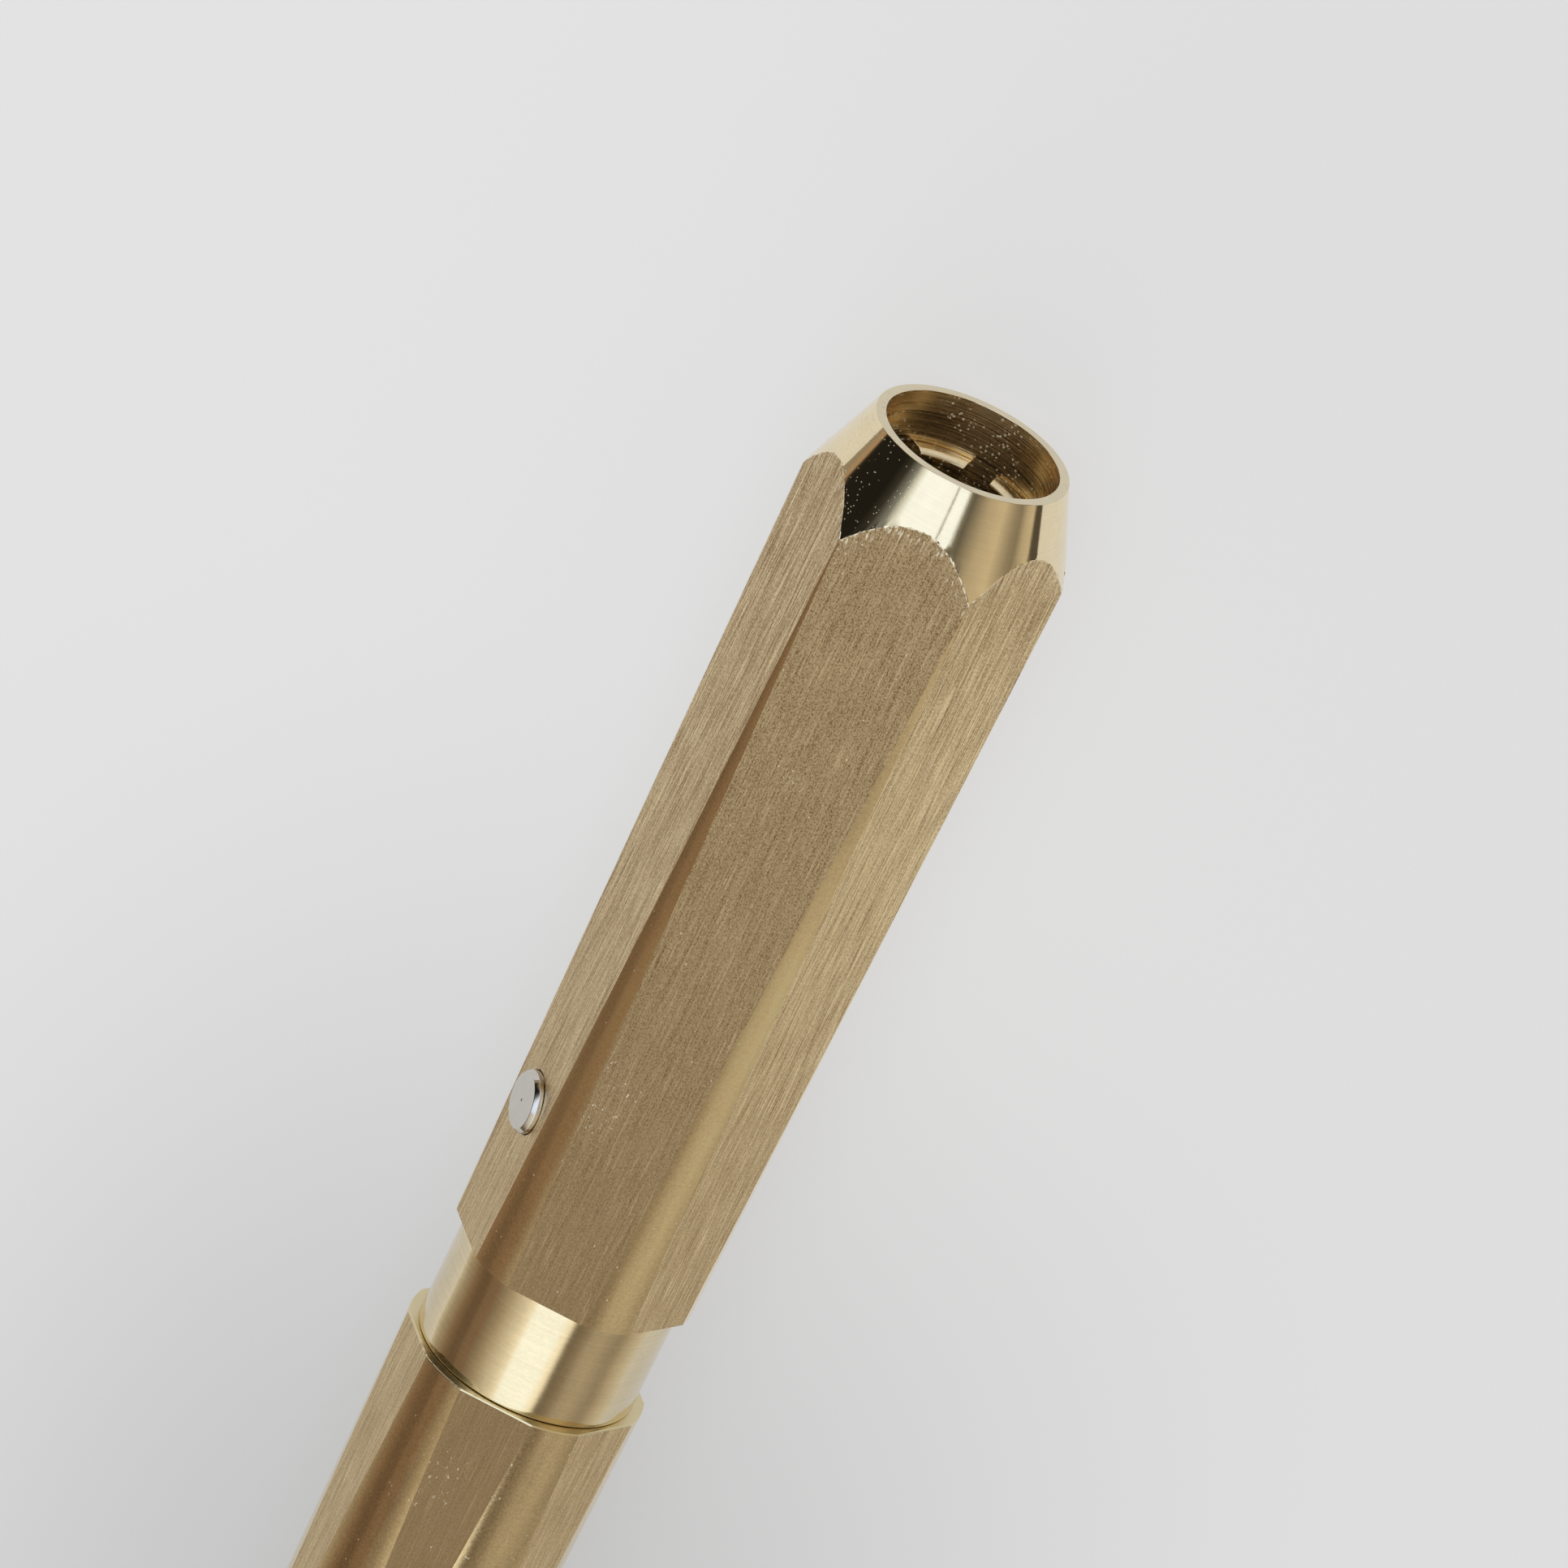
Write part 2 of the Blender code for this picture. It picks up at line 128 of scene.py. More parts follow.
class Board:
    """A node tree, with one method that adds any node and short forms of the usual ones."""

    def __init__(self, tree: bpy.types.NodeTree) -> None:
        """Take over a node tree and empty it."""
        tree.nodes.clear()
        self.tree = tree

    def add(
        self,
        kind: str,
        settings: Mapping[str, Any] | None = None,
        inputs: Mapping[Any, Any] | None = None,
        output: int | str = 0,
    ) -> Wire:
        """Add a node of any type.

        Args:
            kind: the node's type name.
            settings: attributes that are set first; "stops" fills a colour ramp.
            inputs: values or wires for its sockets, by name or index.
            output: the output socket that is wanted.

        Returns:
            The wire from that output, or the first input of a node that has no output.
        """
        node = self.tree.nodes.new(kind)
        for key, value in (settings or {}).items():
            if key == "stops":
                self._fill_ramp(node.color_ramp, value)
            else:
                setattr(node, key, value)
        for key, value in (inputs or {}).items():
            if isinstance(value, Wire):
                self.tree.links.new(value.socket, node.inputs[key])
            else:
                node.inputs[key].default_value = value
        return Wire(self, node.outputs[output] if len(node.outputs) else node.inputs[0])

    @staticmethod
    def _fill_ramp(ramp: bpy.types.ColorRamp, stops: Sequence[tuple[float, Colour]]) -> None:
        """Give a ramp its stops.

        Args:
            ramp: the ramp to fill.
            stops: places from 0 to 1, each with its colour.
        """
        while len(ramp.elements) < len(stops):
            ramp.elements.new(1.0)
        for element, (place, colour) in zip(ramp.elements, stops):
            element.position = place
            element.color = (*colour, 1.0)

    def math(self, operation: str, *values: Number) -> Wire:
        """Return a Math node's result for these values."""
        return self.add("ShaderNodeMath", {"operation": operation}, dict(enumerate(values)))

    def place(self) -> Wire:
        """Return the piece's own Object coordinates."""
        return self.add("ShaderNodeTexCoord", output="Object")

    def axes(self, vector: Wire) -> tuple[Wire, Wire, Wire]:
        """Return the three parts of a vector."""
        outputs = self.add("ShaderNodeSeparateXYZ", None, {0: vector}).socket.node.outputs
        return tuple(Wire(self, outputs[index]) for index in range(3))

    def stretch(self, vector: Wire, per_mm: Triple) -> Wire:
        """Return a vector scaled to so many cells per millimetre along each axis."""
        scale = tuple(value / MM for value in per_mm)
        return self.add("ShaderNodeVectorMath", {"operation": "MULTIPLY"}, {0: vector, 1: scale})

    def noise(self, vector: Wire, layers: float, rough: float, seed: float = 0.0) -> Wire:
        """Return smooth noise from 0 to 1.

        Args:
            vector: the stretched place.
            layers: the number of finer layers.
            rough: how strong the finer layers are.
            seed: a fourth coordinate that gives another pattern.

        Returns:
            The noise value.
        """
        inputs = {"Vector": vector, "W": seed, "Scale": 1.0, "Detail": layers, "Roughness": rough}
        return self.add("ShaderNodeTexNoise", {"noise_dimensions": "4D"}, inputs)

    def cells(self, vector: Wire, output: str = "Distance") -> Wire:
        """Return the distance to, or colour of, the nearest of scattered points."""
        return self.add("ShaderNodeTexVoronoi", None, {"Vector": vector, "Scale": 1.0}, output)

    def rise(self, value: Number, low: float, high: float) -> Wire:
        """Return 0 below low and 1 above high with a smooth step between; low may be above high."""
        inputs = {0: value, 1: low, 2: high, 3: 0.0, 4: 1.0}
        return self.add("ShaderNodeMapRange", {"interpolation_type": "SMOOTHSTEP"}, inputs)

    def sway(self, base: Number, *parts: tuple[Wire, float]) -> Number:
        """Add noises to a base value.

        Args:
            base: the value that is swayed.
            parts: noises, each with its share.

        Returns:
            The base plus each noise's distance from its middle times its share.
        """
        for noise, share in parts:
            base = base + (noise - MIDDLE) * share
        return base

    def mix(self, share: Number, first: Any, second: Any) -> Wire:
        """Mix two colours.

        Args:
            share: 0 for the first colour and 1 for the second.
            first: a colour or a wire.
            second: a colour or a wire.

        Returns:
            The colour between them.
        """
        settings = {"data_type": "RGBA", "clamp_factor": True}
        ends = [value if isinstance(value, Wire) else (*value, 1.0) for value in (first, second)]
        return self.add("ShaderNodeMix", settings, {0: share, 6: ends[0], 7: ends[1]}, 2)

    def shade(self, colour: Colour, tone: Wire) -> Wire:
        """Return a colour made lighter or darker by a tone."""
        settings = {"data_type": "RGBA", "blend_type": "MULTIPLY"}
        return self.add("ShaderNodeMix", settings, {0: 1.0, 6: (*colour, 1.0), 7: tone}, 2)

    def relief(self, *parts: tuple[Wire, float]) -> Wire:
        """Tilt the normal by heights, one after the other.

        Args:
            parts: heights from 0 to 1, each with the depth in millimetres that 1 stands for.

        Returns:
            The tilted normal.
        """
        tilted: dict[str, Wire] = {}
        for height, depth in parts:
            inputs = {"Strength": 1.0, "Distance": depth * MM, "Height": height, **tilted}
            tilted = {"Normal": self.add("ShaderNodeBump", None, inputs)}
        return tilted["Normal"]

    def surface(self, colour: Wire, roughness: Number, normal: Wire, metallic: Number = 1.0) -> None:
        """Finish a material with one Principled shader.

        Args:
            colour: the base colour.
            roughness: the roughness.
            normal: the tilted normal.
            metallic: 1 for bare metal.
        """
        inputs = {"Base Color": colour, "Roughness": roughness, "Metallic": metallic, "Normal": normal}
        shader = self.add("ShaderNodeBsdfPrincipled", None, inputs)
        self.add("ShaderNodeOutputMaterial", None, {"Surface": shader})


def new_board(name: str) -> tuple[bpy.types.Material, Board]:
    """Make a new material.

    Args:
        name: the material's name.

    Returns:
        The material and the board of its nodes.
    """
    material = bpy.data.materials.new(name)
    material.use_nodes = True
    return material, Board(material.node_tree)


@dataclass(frozen=True)
class Noise:
    """Smooth noise from 0 to 1, stretched into rings, lines or grain.

    Where it has a span, it gives the patches in which the noise climbs over that span.
    """

    per_mm: Triple
    layers: float = 0.0
    rough: float = 0.5
    seed: float = 0.0
    span: Span | None = None

    def over(self, board: Board, place: Wire) -> Wire:
        """Return the noise, or its patches, at a place in the piece."""
        noise = board.noise(board.stretch(place, self.per_mm), self.layers, self.rough, self.seed)
        return noise if self.span is None else board.rise(noise, *self.span)


@dataclass(frozen=True)
class Speckle:
    """Dots round scattered points, of which a chosen few may be kept."""

    per_mm: Triple
    dot: Span
    chosen: Span | None = None

    def over(self, board: Board, place: Wire) -> Wire:
        """Lay the dots over a piece.

        Args:
            board: the board to work on.
            place: the place in the piece.

        Returns:
            1 in a dot and 0 between the dots.
        """
        points = board.stretch(place, self.per_mm)
        dots = board.rise(board.cells(points), *self.dot)
        if self.chosen is None:
            return dots
        return dots * board.rise(board.axes(board.cells(points, "Color"))[0], *self.chosen)


class Finish(ABC):
    """A surface finish, which paints a material of its own."""

    name: str

    def material(self) -> bpy.types.Material:
        """Make the finish's material.

        Returns:
            The painted material.
        """
        material, board = new_board(self.name)
        self.paint(board, board.place())
        return material

    @abstractmethod
    def paint(self, board: Board, place: Wire) -> None:
        """Lay the finish's nodes.

        Args:
            board: the material's board.
            place: the place in the piece.
        """


@dataclass(frozen=True)
class ConeEdge:
    """Edge where the flats run out into the cone, worked out from a place on the barrel."""

    mouth: float
    axis_height: float
    rim_radius: float
    cone_angle: float

    def radius(self, board: Board, place: Wire) -> Wire:
        """Work out a place's distance from the tool's axis.

        Args:
            board: the board to work on.
            place: the place in Object coordinates.

        Returns:
            The distance in millimetres.
        """
        _, y, z = board.axes(place)
        rise = z - self.axis_height
        return board.math("SQRT", y * y + rise * rise) / MM

    def behind(self, board: Board, place: Wire) -> Wire:
        """Work out how far behind the edge a place on a flat lies.

        The cone reaches the radius r at the station (r - rim radius) / tan(cone angle).

        Args:
            board: the board to work on.
            place: the place in Object coordinates.

        Returns:
            The distance along the tool in millimetres.
        """
        station = (self.mouth - board.axes(place)[0]) / MM
        return station - (self.radius(board, place) - self.rim_radius) / math.tan(self.cone_angle)


@dataclass(frozen=True)
class BrushedFlat(Finish):
    """Milled flat, brushed along the tool, with grain, scratches, scuffs, a burred front edge, painted
    glints and painted shade.
    """

    edge: ConeEdge
    name: str = "brushed_flat"
    colour: Colour = (0.658, 0.504, 0.287)
    spread: Colour = (0.50, 0.61, 0.74)
    fineness: float = 13.0
    broad_share: float = 0.12
    fine_share: float = 1.40
    grain_share: float = 1.25
    line_share: float = 0.25
    scratch_share: float = 0.15
    scuff_share: float = 0.0
    fade: float = 0.45
    # Painted shade: how far the tone shifts along the tool.
    painted_shade_drift: float = -0.15
    # Strength of the painted sheen and shade on the flats of the -Y side.
    lean: float = 0.19
    rear_painted_shade: float = 0.35
    roughness: float = 0.42
    turn: float = math.radians(15.0)
    # Colour of the painted glints on the burr, behind it and in dots, and of the scuffs.
    glint: Colour = (1.0, 0.90, 0.68)
    burr_glint_bright: float = 0.85
    fleck_glint_bright: float = 0.60
    dot_glint_bright: float = 0.5
    rear: Span = (0.0, 60.0)
    painted_sheen_start: Span = (-6.0, 14.0)
    painted_sheen_end: Span = (38.0, 12.0)
    painted_shade_start: Span = (28.0, 42.0)
    burr_width: Span = (0.11, 0.03)
    fleck_reach: Span = (1.6, 0.1)
    broad: Noise = Noise((0.05, 1.6, 1.6), 1.0, 0.6)
    lines: Noise = Noise((0.45, 11.0, 11.0), seed=7.0, span=(0.62, 0.74))
    scratches: Noise = Noise((0.30, 10.0, 10.0), seed=9.0, span=(0.62, 0.74))
    # Breaks in the painted glint line along the burr.
    torn: Noise = Noise((3.0, 4.5, 4.5), 2.0, 0.6, 15.0, span=(0.44, 0.56))
    # Flecks of painted glint behind the burr.
    strokes: Noise = Noise((1.9, 7.0, 7.0), 1.0, 0.5, 13.0, span=(0.56, 0.68))
    patches: Noise = Noise((0.22, 0.3, 0.3), seed=19.0, span=(0.65, 0.70))
    crossing: Noise = Noise((2.4, 4.0, 4.0), 3.0, 0.7, 17.0, span=(0.60, 0.66))
    # Dots of painted glint.
    dots: Speckle = Speckle((2.2, 3.2, 3.2), dot=(0.16, 0.08), chosen=(0.93, 0.96))

    def brushed(self, along: float, seed: float) -> Noise:
        """Return noise that is as fine across the tool as the brush, with cells per millimetre along it."""
        return Noise((along, self.fineness, self.fineness), seed=seed)

    def paint(self, board: Board, place: Wire) -> None:
        """Mix a deep and a pale tone of the metal by its marks, and add painted glints and scuffs.

        The marks fade towards the rear, and a painted shade gradient drifts the tone with them.

        Args:
            board: the material's board.
            place: the place in the piece.
        """
        inputs = {"Vector": place, "Angle": self.turn}
        turned = board.add("ShaderNodeVectorRotate", {"rotation_type": "X_AXIS"}, inputs)
        broad = self.broad.over(board, turned)
        fine = self.brushed(along=0.35, seed=3.0).over(board, turned)
        grain = self.brushed(along=10.0, seed=5.0).over(board, turned)
        lines = self.lines.over(board, turned)
        scratches = self.scratches.over(board, turned)
        shares = ((broad, self.broad_share), (fine, self.fine_share), (grain, self.grain_share))
        marks = board.sway(0.0, *shares) + lines * self.line_share - scratches * self.scratch_share
        behind = self.edge.behind(board, place)
        rear = board.rise(behind, *self.rear)
        # The drift paints a shade gradient along the tool.
        tone = MIDDLE + marks * (1.0 - rear * self.fade) + (MIDDLE - rear) * self.painted_shade_drift
        # Painted sheen and shade on the flats of the -Y side.
        tone = tone + self.painted_side_light(board, place, behind)
        deep = tuple(value * (1.0 - part) for value, part in zip(self.colour, self.spread))
        pale = tuple(value * (1.0 + part) for value, part in zip(self.colour, self.spread))
        # Painted glints on the burr and in dots, and real scuffs, all mixed toward the glint colour.
        bright = board.math("MAXIMUM", self.burr(board, place, behind), self.painted_glint_dots_and_scuffs(board, place))
        colour = board.mix(bright, board.mix(tone, deep, pale), self.glint)
        rough = board.sway(self.roughness, (grain, 0.15)) - lines * 0.06
        board.surface(colour, rough, board.relief((fine, 0.0010), (grain, 0.0008)))

    def painted_side_light(self, board: Board, place: Wire, behind: Wire) -> Wire:
        """Paint sheen on flats of the -Y side, paler in the middle, and painted shade at the rear.

        Args:
            board: the material's board.
            place: the place in the piece.
            behind: how far behind the cone's edge it lies.

        Returns:
            What the tone gains.
        """
        middle = board.rise(behind, *self.painted_sheen_start) * board.rise(behind, *self.painted_sheen_end)
        lean = (middle - board.rise(behind, *self.painted_shade_start) * self.rear_painted_shade) * self.lean
        return board.rise(board.axes(place)[1], 0.0, -MM) * lean

    def burr(self, board: Board, place: Wire, behind: Wire) -> Wire:
        """Paint a broken glint line along the burred front edge, with glinting flecks behind it.

        Args:
            board: the material's board.
            place: the place in the piece.
            behind: how far behind the cone's edge it lies.

        Returns:
            How bright the painted glints are.
        """
        line = board.rise(behind, *self.burr_width) * self.torn.over(board, place)
        flecks = self.strokes.over(board, place) * board.rise(behind, *self.fleck_reach)
        return board.math("MAXIMUM", line * self.burr_glint_bright, flecks * self.fleck_glint_bright)

    def painted_glint_dots_and_scuffs(self, board: Board, place: Wire) -> Wire:
        """Scatter painted glint dots, and scuffs in a few patches.

        Args:
            board: the material's board.
            place: the place in the piece.

        Returns:
            How bright they are.
        """
        dots = self.dots.over(board, place)
        scuffs = self.patches.over(board, place) * self.crossing.over(board, place)
        return board.math("MAXIMUM", dots * self.dot_glint_bright, scuffs * self.scuff_share)


@dataclass(frozen=True)
class TurnedLand(Finish):
    """Turned surface left between the flats, polished, with faint rings and dust."""

    edge: ConeEdge
    name: str = "turned_land"
    colour: Colour = (0.90, 0.74, 0.47)
    # Painted shade: how far the tone shifts along the tool.
    painted_shade_drift: float = 0.30
    # Painted shade near the cone's edge.
    front_painted_shade: float = 0.16
    roughness: float = 0.12
    dust: Colour = (0.95, 0.92, 0.86)
    dust_share: float = 0.55
    dust_rough: float = 0.4
    rear: Span = (20.0, 70.0)
    front: Span = (28.0, 12.0)
    rings: Noise = Noise((9.0, 0.25, 0.25), 3.0, 0.6)
    grain: Noise = Noise((8.0, 8.0, 8.0), 2.0, 0.6, 2.0)
    smear: Noise = Noise((0.12, 1.2, 1.2), 2.0, 0.6, 6.0)
    dots: Speckle = Speckle((2.0, 3.0, 3.0), dot=(0.17, 0.08))
    dusty: Noise = Noise((1.2, 1.2, 1.2), seed=8.0, span=(0.55, 0.62))

    def paint(self, board: Board, place: Wire) -> None:
        """Turn rings into polished brass with painted shade along the tool, darker near the front, with dust
        on it.

        Args:
            board: the material's board.
            place: the place in the piece.
        """
        rings = self.rings.over(board, place)
        grain = self.grain.over(board, place)
        smear = self.smear.over(board, place)
        behind = self.edge.behind(board, place)
        tone = board.sway(1.0, (rings, 0.20), (grain, 0.70), (smear, 0.45))
        # Painted shade gradient along the tool.
        tone = tone + (MIDDLE - board.rise(behind, *self.rear)) * self.painted_shade_drift
        # Painted shade, darker near the cone's edge.
        tone = tone - board.rise(behind, *self.front) * self.front_painted_shade
        dust = self.dots.over(board, place) * self.dusty.over(board, place)
        colour = board.mix(dust * self.dust_share, board.shade(self.colour, tone), self.dust)
        rough = board.sway(self.roughness, (grain, 0.16)) + dust * self.dust_rough
        board.surface(colour, rough, board.relief((rings, 0.002), (grain, 0.0015)))


@dataclass(frozen=True)
class FacedEnd(Finish):
    """Tail end cut square across the bar, with rings about the tool's axis."""

    edge: ConeEdge
    name: str = "faced_end"
    colour: Colour = (0.86, 0.71, 0.45)
    roughness: float = 0.20
    rings_per_mm: float = 5.0
    grain: Noise = Noise((8.0, 8.0, 8.0), 2.0, 0.6, 2.0)
    wear: Noise = Noise((0.5, 0.5, 0.5), 2.0, 0.6, 4.0)

    def paint(self, board: Board, place: Wire) -> None:
        """Lay rings that are noise over the distance from the axis.

        Args:
            board: the material's board.
            place: the place in the piece.
        """
        outward = self.edge.radius(board, place) * self.rings_per_mm
        rings = board.noise(board.add("ShaderNodeCombineXYZ", None, {0: outward}), layers=2.0, rough=0.6)
        wear = self.wear.over(board, place)
        tone = board.sway(1.0, (rings, 0.50), (self.grain.over(board, place), 0.15), (wear, 0.15))
        rough = board.sway(self.roughness, (rings, 0.1), (wear, 0.1))
        board.surface(board.shade(self.colour, tone), rough, board.relief((rings, 0.008)))


@dataclass(frozen=True)
class PolishedCone(Finish):
    """Polished turned brass with faint rings, tiny pits, soft smears and grime where it gathers."""

    name: str = "polished_cone"
    colour: Colour = (0.90, 0.765, 0.505)
    roughness: float = 0.075
    ring_depth: float = 0.0012
    pit_share: float = 1.0
    pit_rough: float = 0.35
    grime_share: float = 0.0
    grime_rough: float = 0.3
    soiled: Span = (1.4, 9.0)
    soil_fade: float = 1.2
    grime: Colour = (0.16, 0.10, 0.04)
    rings: Noise = Noise((11.0, 0.3, 0.3), 3.0, 0.6)
    grain: Noise = Noise((9.0, 9.0, 9.0), 2.0, 0.6, 3.0)
    smear: Noise = Noise((0.8, 1.6, 1.6), 3.0, 0.6, 5.0)
    pits: Speckle = Speckle((7.0, 7.0, 7.0), dot=(0.25, 0.13), chosen=(0.60, 0.65))
    strewn: Noise = Noise((0.5, 0.5, 0.5), 1.0, 0.5, 9.0, span=(0.44, 0.58))
    stains: Noise = Noise((2.4, 2.4, 2.4), 3.0, 0.65, 12.0, span=(0.50, 0.62))

    def paint(self, board: Board, place: Wire) -> None:
        """Polish the brass, and put pits and grime on the soiled part of its +Y side.

        Args:
            board: the material's board.
            place: the place in the piece.
        """
        rings = self.rings.over(board, place)
        smear = self.smear.over(board, place)
        across = board.axes(place)[1] / MM
        start, end = self.soiled
        soiled = board.rise(across, start, start + self.soil_fade)
        soiled = soiled * board.rise(across, end, end - self.soil_fade)
        pits = self.pits.over(board, place) * self.strewn.over(board, place) * soiled * self.pit_share
        dirt = self.stains.over(board, place) * soiled
        metal = board.shade(self.colour, board.sway(1.0, (rings, 0.16), (smear, 0.16)))
        colour = board.mix(dirt * self.grime_share, metal, self.grime)
        rough = board.sway(self.roughness, (smear, 0.06)) + pits * self.pit_rough
        rough = rough + dirt * (self.grime_share * self.grime_rough)
        grain = self.grain.over(board, place)
        board.surface(colour, rough, board.relief((rings, self.ring_depth), (grain, 0.0006), (pits, 0.022)))


@dataclass(frozen=True)
class BoredBrass(Finish):
    """Bored brass with tool rings, and a few bright chips left in it."""

    name: str = "bored_brass"
    colour: Colour = (1.0, 0.765, 0.46)
    roughness: float = 0.28
    ring_depth: float = 0.010
    ring_share: float = 2.6
    groove_share: float = 0.3
    tone: float = 1.06
    tone_limits: Span = (0.25, 1.05)
    chip_share: float = 0.9
    chip_dullness: float = 0.9
    chip: Colour = (1.0, 0.86, 0.56)
    rings: Noise = Noise((13.0, 0.16, 0.16), 1.0, 0.6)
    grain: Noise = Noise((14.0, 4.0, 4.0), 1.0, 0.6, 4.0)
    grooves: Noise = Noise((11.0, 0.16, 0.16), 0.0, 0.6, 6.0, span=(0.58, 0.66))
    chips: Speckle = Speckle((5.0, 5.0, 5.0), dot=(0.38, 0.24), chosen=(0.50, 0.54))
    strewn: Noise = Noise((0.5, 0.5, 0.5), seed=8.0, span=(0.36, 0.50))

    def paint(self, board: Board, place: Wire) -> None:
        """Turn light and dark rings into the brass and strew chips over it.

        Args:
            board: the material's board.
            place: the place in the piece.
        """
        rings = self.rings.over(board, place)
        chips = self.chips.over(board, place) * self.strewn.over(board, place) * self.chip_share
        tone = board.sway(self.tone, (rings, self.ring_share), (self.grain.over(board, place), 0.2))
        tone = tone - self.grooves.over(board, place) * self.groove_share
        darkest, palest = self.tone_limits
        tone = board.math("MINIMUM", board.math("MAXIMUM", tone, darkest), palest)
        colour = board.mix(chips, board.shade(self.colour, tone), self.chip)
        rough = board.sway(self.roughness, (rings, 0.2))
        metallic = 1.0 - chips * self.chip_dullness
        board.surface(colour, rough, board.relief((rings, self.ring_depth)), metallic)


@dataclass(frozen=True)
class TurnedCollar(Finish):
    """Collar brass with fine even turning rings and soft wear."""

    name: str = "turned_collar"
    colour: Colour = (0.785, 0.667, 0.448)
    roughness: float = 0.10
    rings: Noise = Noise((8.0, 0.03, 0.03), 1.0, 0.6)
    grain: Noise = Noise((8.0, 5.0, 5.0), 1.0, 0.6, 2.0)
    wear: Noise = Noise((0.5, 0.4, 0.4), 2.0, 0.6, 6.0)

    def paint(self, board: Board, place: Wire) -> None:
        """Turn even rings into the brass.

        Args:
            board: the material's board.
            place: the place in the piece.
        """
        rings = self.rings.over(board, place)
        grain = self.grain.over(board, place)
        wear = self.wear.over(board, place)
        tone = board.sway(1.0, (rings, 0.22), (grain, 0.20), (wear, 0.20))
        rough = board.sway(self.roughness, (grain, 0.06), (wear, 0.05))
        board.surface(board.shade(self.colour, tone), rough, board.relief((rings, 0.0022)))


@dataclass(frozen=True)
class PolishedSteel(Finish):
    """Polished steel with faint marks round its face."""

    name: str = "polished_button"
    colour: Colour = (0.655, 0.62, 0.57)
    roughness: float = 0.06
    grain: Noise = Noise((8.0, 8.0, 8.0), 3.0, 0.6)
    smear: Noise = Noise((1.2, 1.2, 1.2), 2.0, 0.5, 4.0)

    def paint(self, board: Board, place: Wire) -> None:
        """Polish the steel and smear it a little.

        Args:
            board: the material's board.
            place: the place in the piece.
        """
        grain = self.grain.over(board, place)
        smear = self.smear.over(board, place)
        tone = board.sway(1.0, (grain, 0.10), (smear, 0.14))
        rough = board.sway(self.roughness, (smear, 0.08))
        board.surface(board.shade(self.colour, tone), rough, board.relief((grain, 0.0008)))


@dataclass(frozen=True)
class SpringSteel(Finish):
    """Drawn steel of the hidden rod, spring, washer and nut."""

    name: str = "drawn_steel"
    colour: Colour = (0.45, 0.45, 0.46)
    roughness: float = 0.30
    oil: Colour = (0.30, 0.24, 0.17)
    oil_share: float = 0.4
    lines: Noise = Noise((5.0, 2.0, 2.0), 3.0, 0.6)
    oily: Noise = Noise((0.7, 0.7, 0.7), 2.0, 0.5, 4.0, span=(0.55, 0.75))

    def paint(self, board: Board, place: Wire) -> None:
        """Draw lines along the steel and oil it in places.

        Args:
            board: the material's board.
            place: the place in the piece.
        """
        lines = self.lines.over(board, place)
        steel = board.shade(self.colour, board.sway(1.0, (lines, 0.25)))
        colour = board.mix(self.oily.over(board, place) * self.oil_share, steel, self.oil)
        board.surface(colour, board.sway(self.roughness, (lines, 0.15)), board.relief((lines, 0.003)))


@dataclass(frozen=True)
class Lathe:
    """An axis that shapes are turned about.

    A point is the origin, plus its station along the axis, plus its radius in the
    direction that its angle gives between the zero and the quarter direction.
    """

    origin: np.ndarray
    along: np.ndarray
    zero: np.ndarray
    quarter: np.ndarray

    def points(self, station: Any, radius: Any, angle: Any) -> np.ndarray:
        """Place points about the axis.

        Args:
            station: millimetres along the axis.
            radius: millimetres from the axis.
            angle: radians about the axis.

        Returns:
            World points in metres, in an array with one more axis for x, y and z.
        """
        station, radius, angle = np.broadcast_arrays(station, radius, angle)
        outward = np.cos(angle)[..., None] * self.zero + np.sin(angle)[..., None] * self.quarter
        return self.origin + MM * (station[..., None] * self.along + radius[..., None] * outward)

    def turned(self, profile: np.ndarray, columns: int, zone: int, ring: bool) -> "Skin":
        """Carry a profile round the axis.

        Args:
            profile: (radius, station) points, which become rows.
            columns: the number of steps round the axis.
            zone: the finish number of all its faces.
            ring: whether the last row joins the first.

        Returns:
            The closed surface.
        """
        angle = np.arange(columns) * (2.0 * math.pi / columns)
        points = self.points(profile[:, 1:2], profile[:, 0:1], angle[None, :])
        return Skin(points, np.full(points.shape[:2], zone), ring)


@dataclass
class Skin:
    """A closed surface on a grid whose columns join round.

    Where the rows don't join too, a flat cap closes the first and the last row.
    """

    points: np.ndarray
    zones: np.ndarray
    ring: bool

    def faces(self) -> tuple[np.ndarray, list[np.ndarray], np.ndarray]:
        """Work out the faces, turned so that all of them point outwards.

        The volume is the sum over triangles of a · (b × c) / 6, and faces are
        reversed where it comes out negative.

        Returns:
            The quads, the caps and the finish numbers of both.
        """
        rows, columns = self.points.shape[:2]
        index = np.arange(rows * columns).reshape(rows, columns)
        right = np.roll(index, -1, axis=1)
        quads = np.stack([index, right, np.roll(right, -1, axis=0), np.roll(index, -1, axis=0)], axis=-1)
        used = rows if self.ring else rows - 1
        quads = quads[:used].reshape(-1, 4)
        zones = np.array(self.zones[:used]).reshape(-1)
        caps = [] if self.ring else [index[0][::-1], index[-1]]
        if not self.ring:
            zones = np.concatenate([zones, [self.zones[0, 0], self.zones[-1, 0]]])
        corner = self.points.reshape(-1, 3)
        corner = corner - corner.mean(axis=0)
        triangles = [quads[:, [0, 1, 2]], quads[:, [0, 2, 3]]]
        triangles += [np.stack([np.full(len(c) - 2, c[0]), c[1:-1], c[2:]], axis=-1) for c in caps]
        first, second, third = np.moveaxis(corner[np.concatenate(triangles)], 1, 0)
        if np.einsum("ij,ij->", first, np.cross(second, third)) < 0.0:
            quads = quads[:, ::-1]
            caps = [cap[::-1] for cap in caps]
        return quads, caps, zones


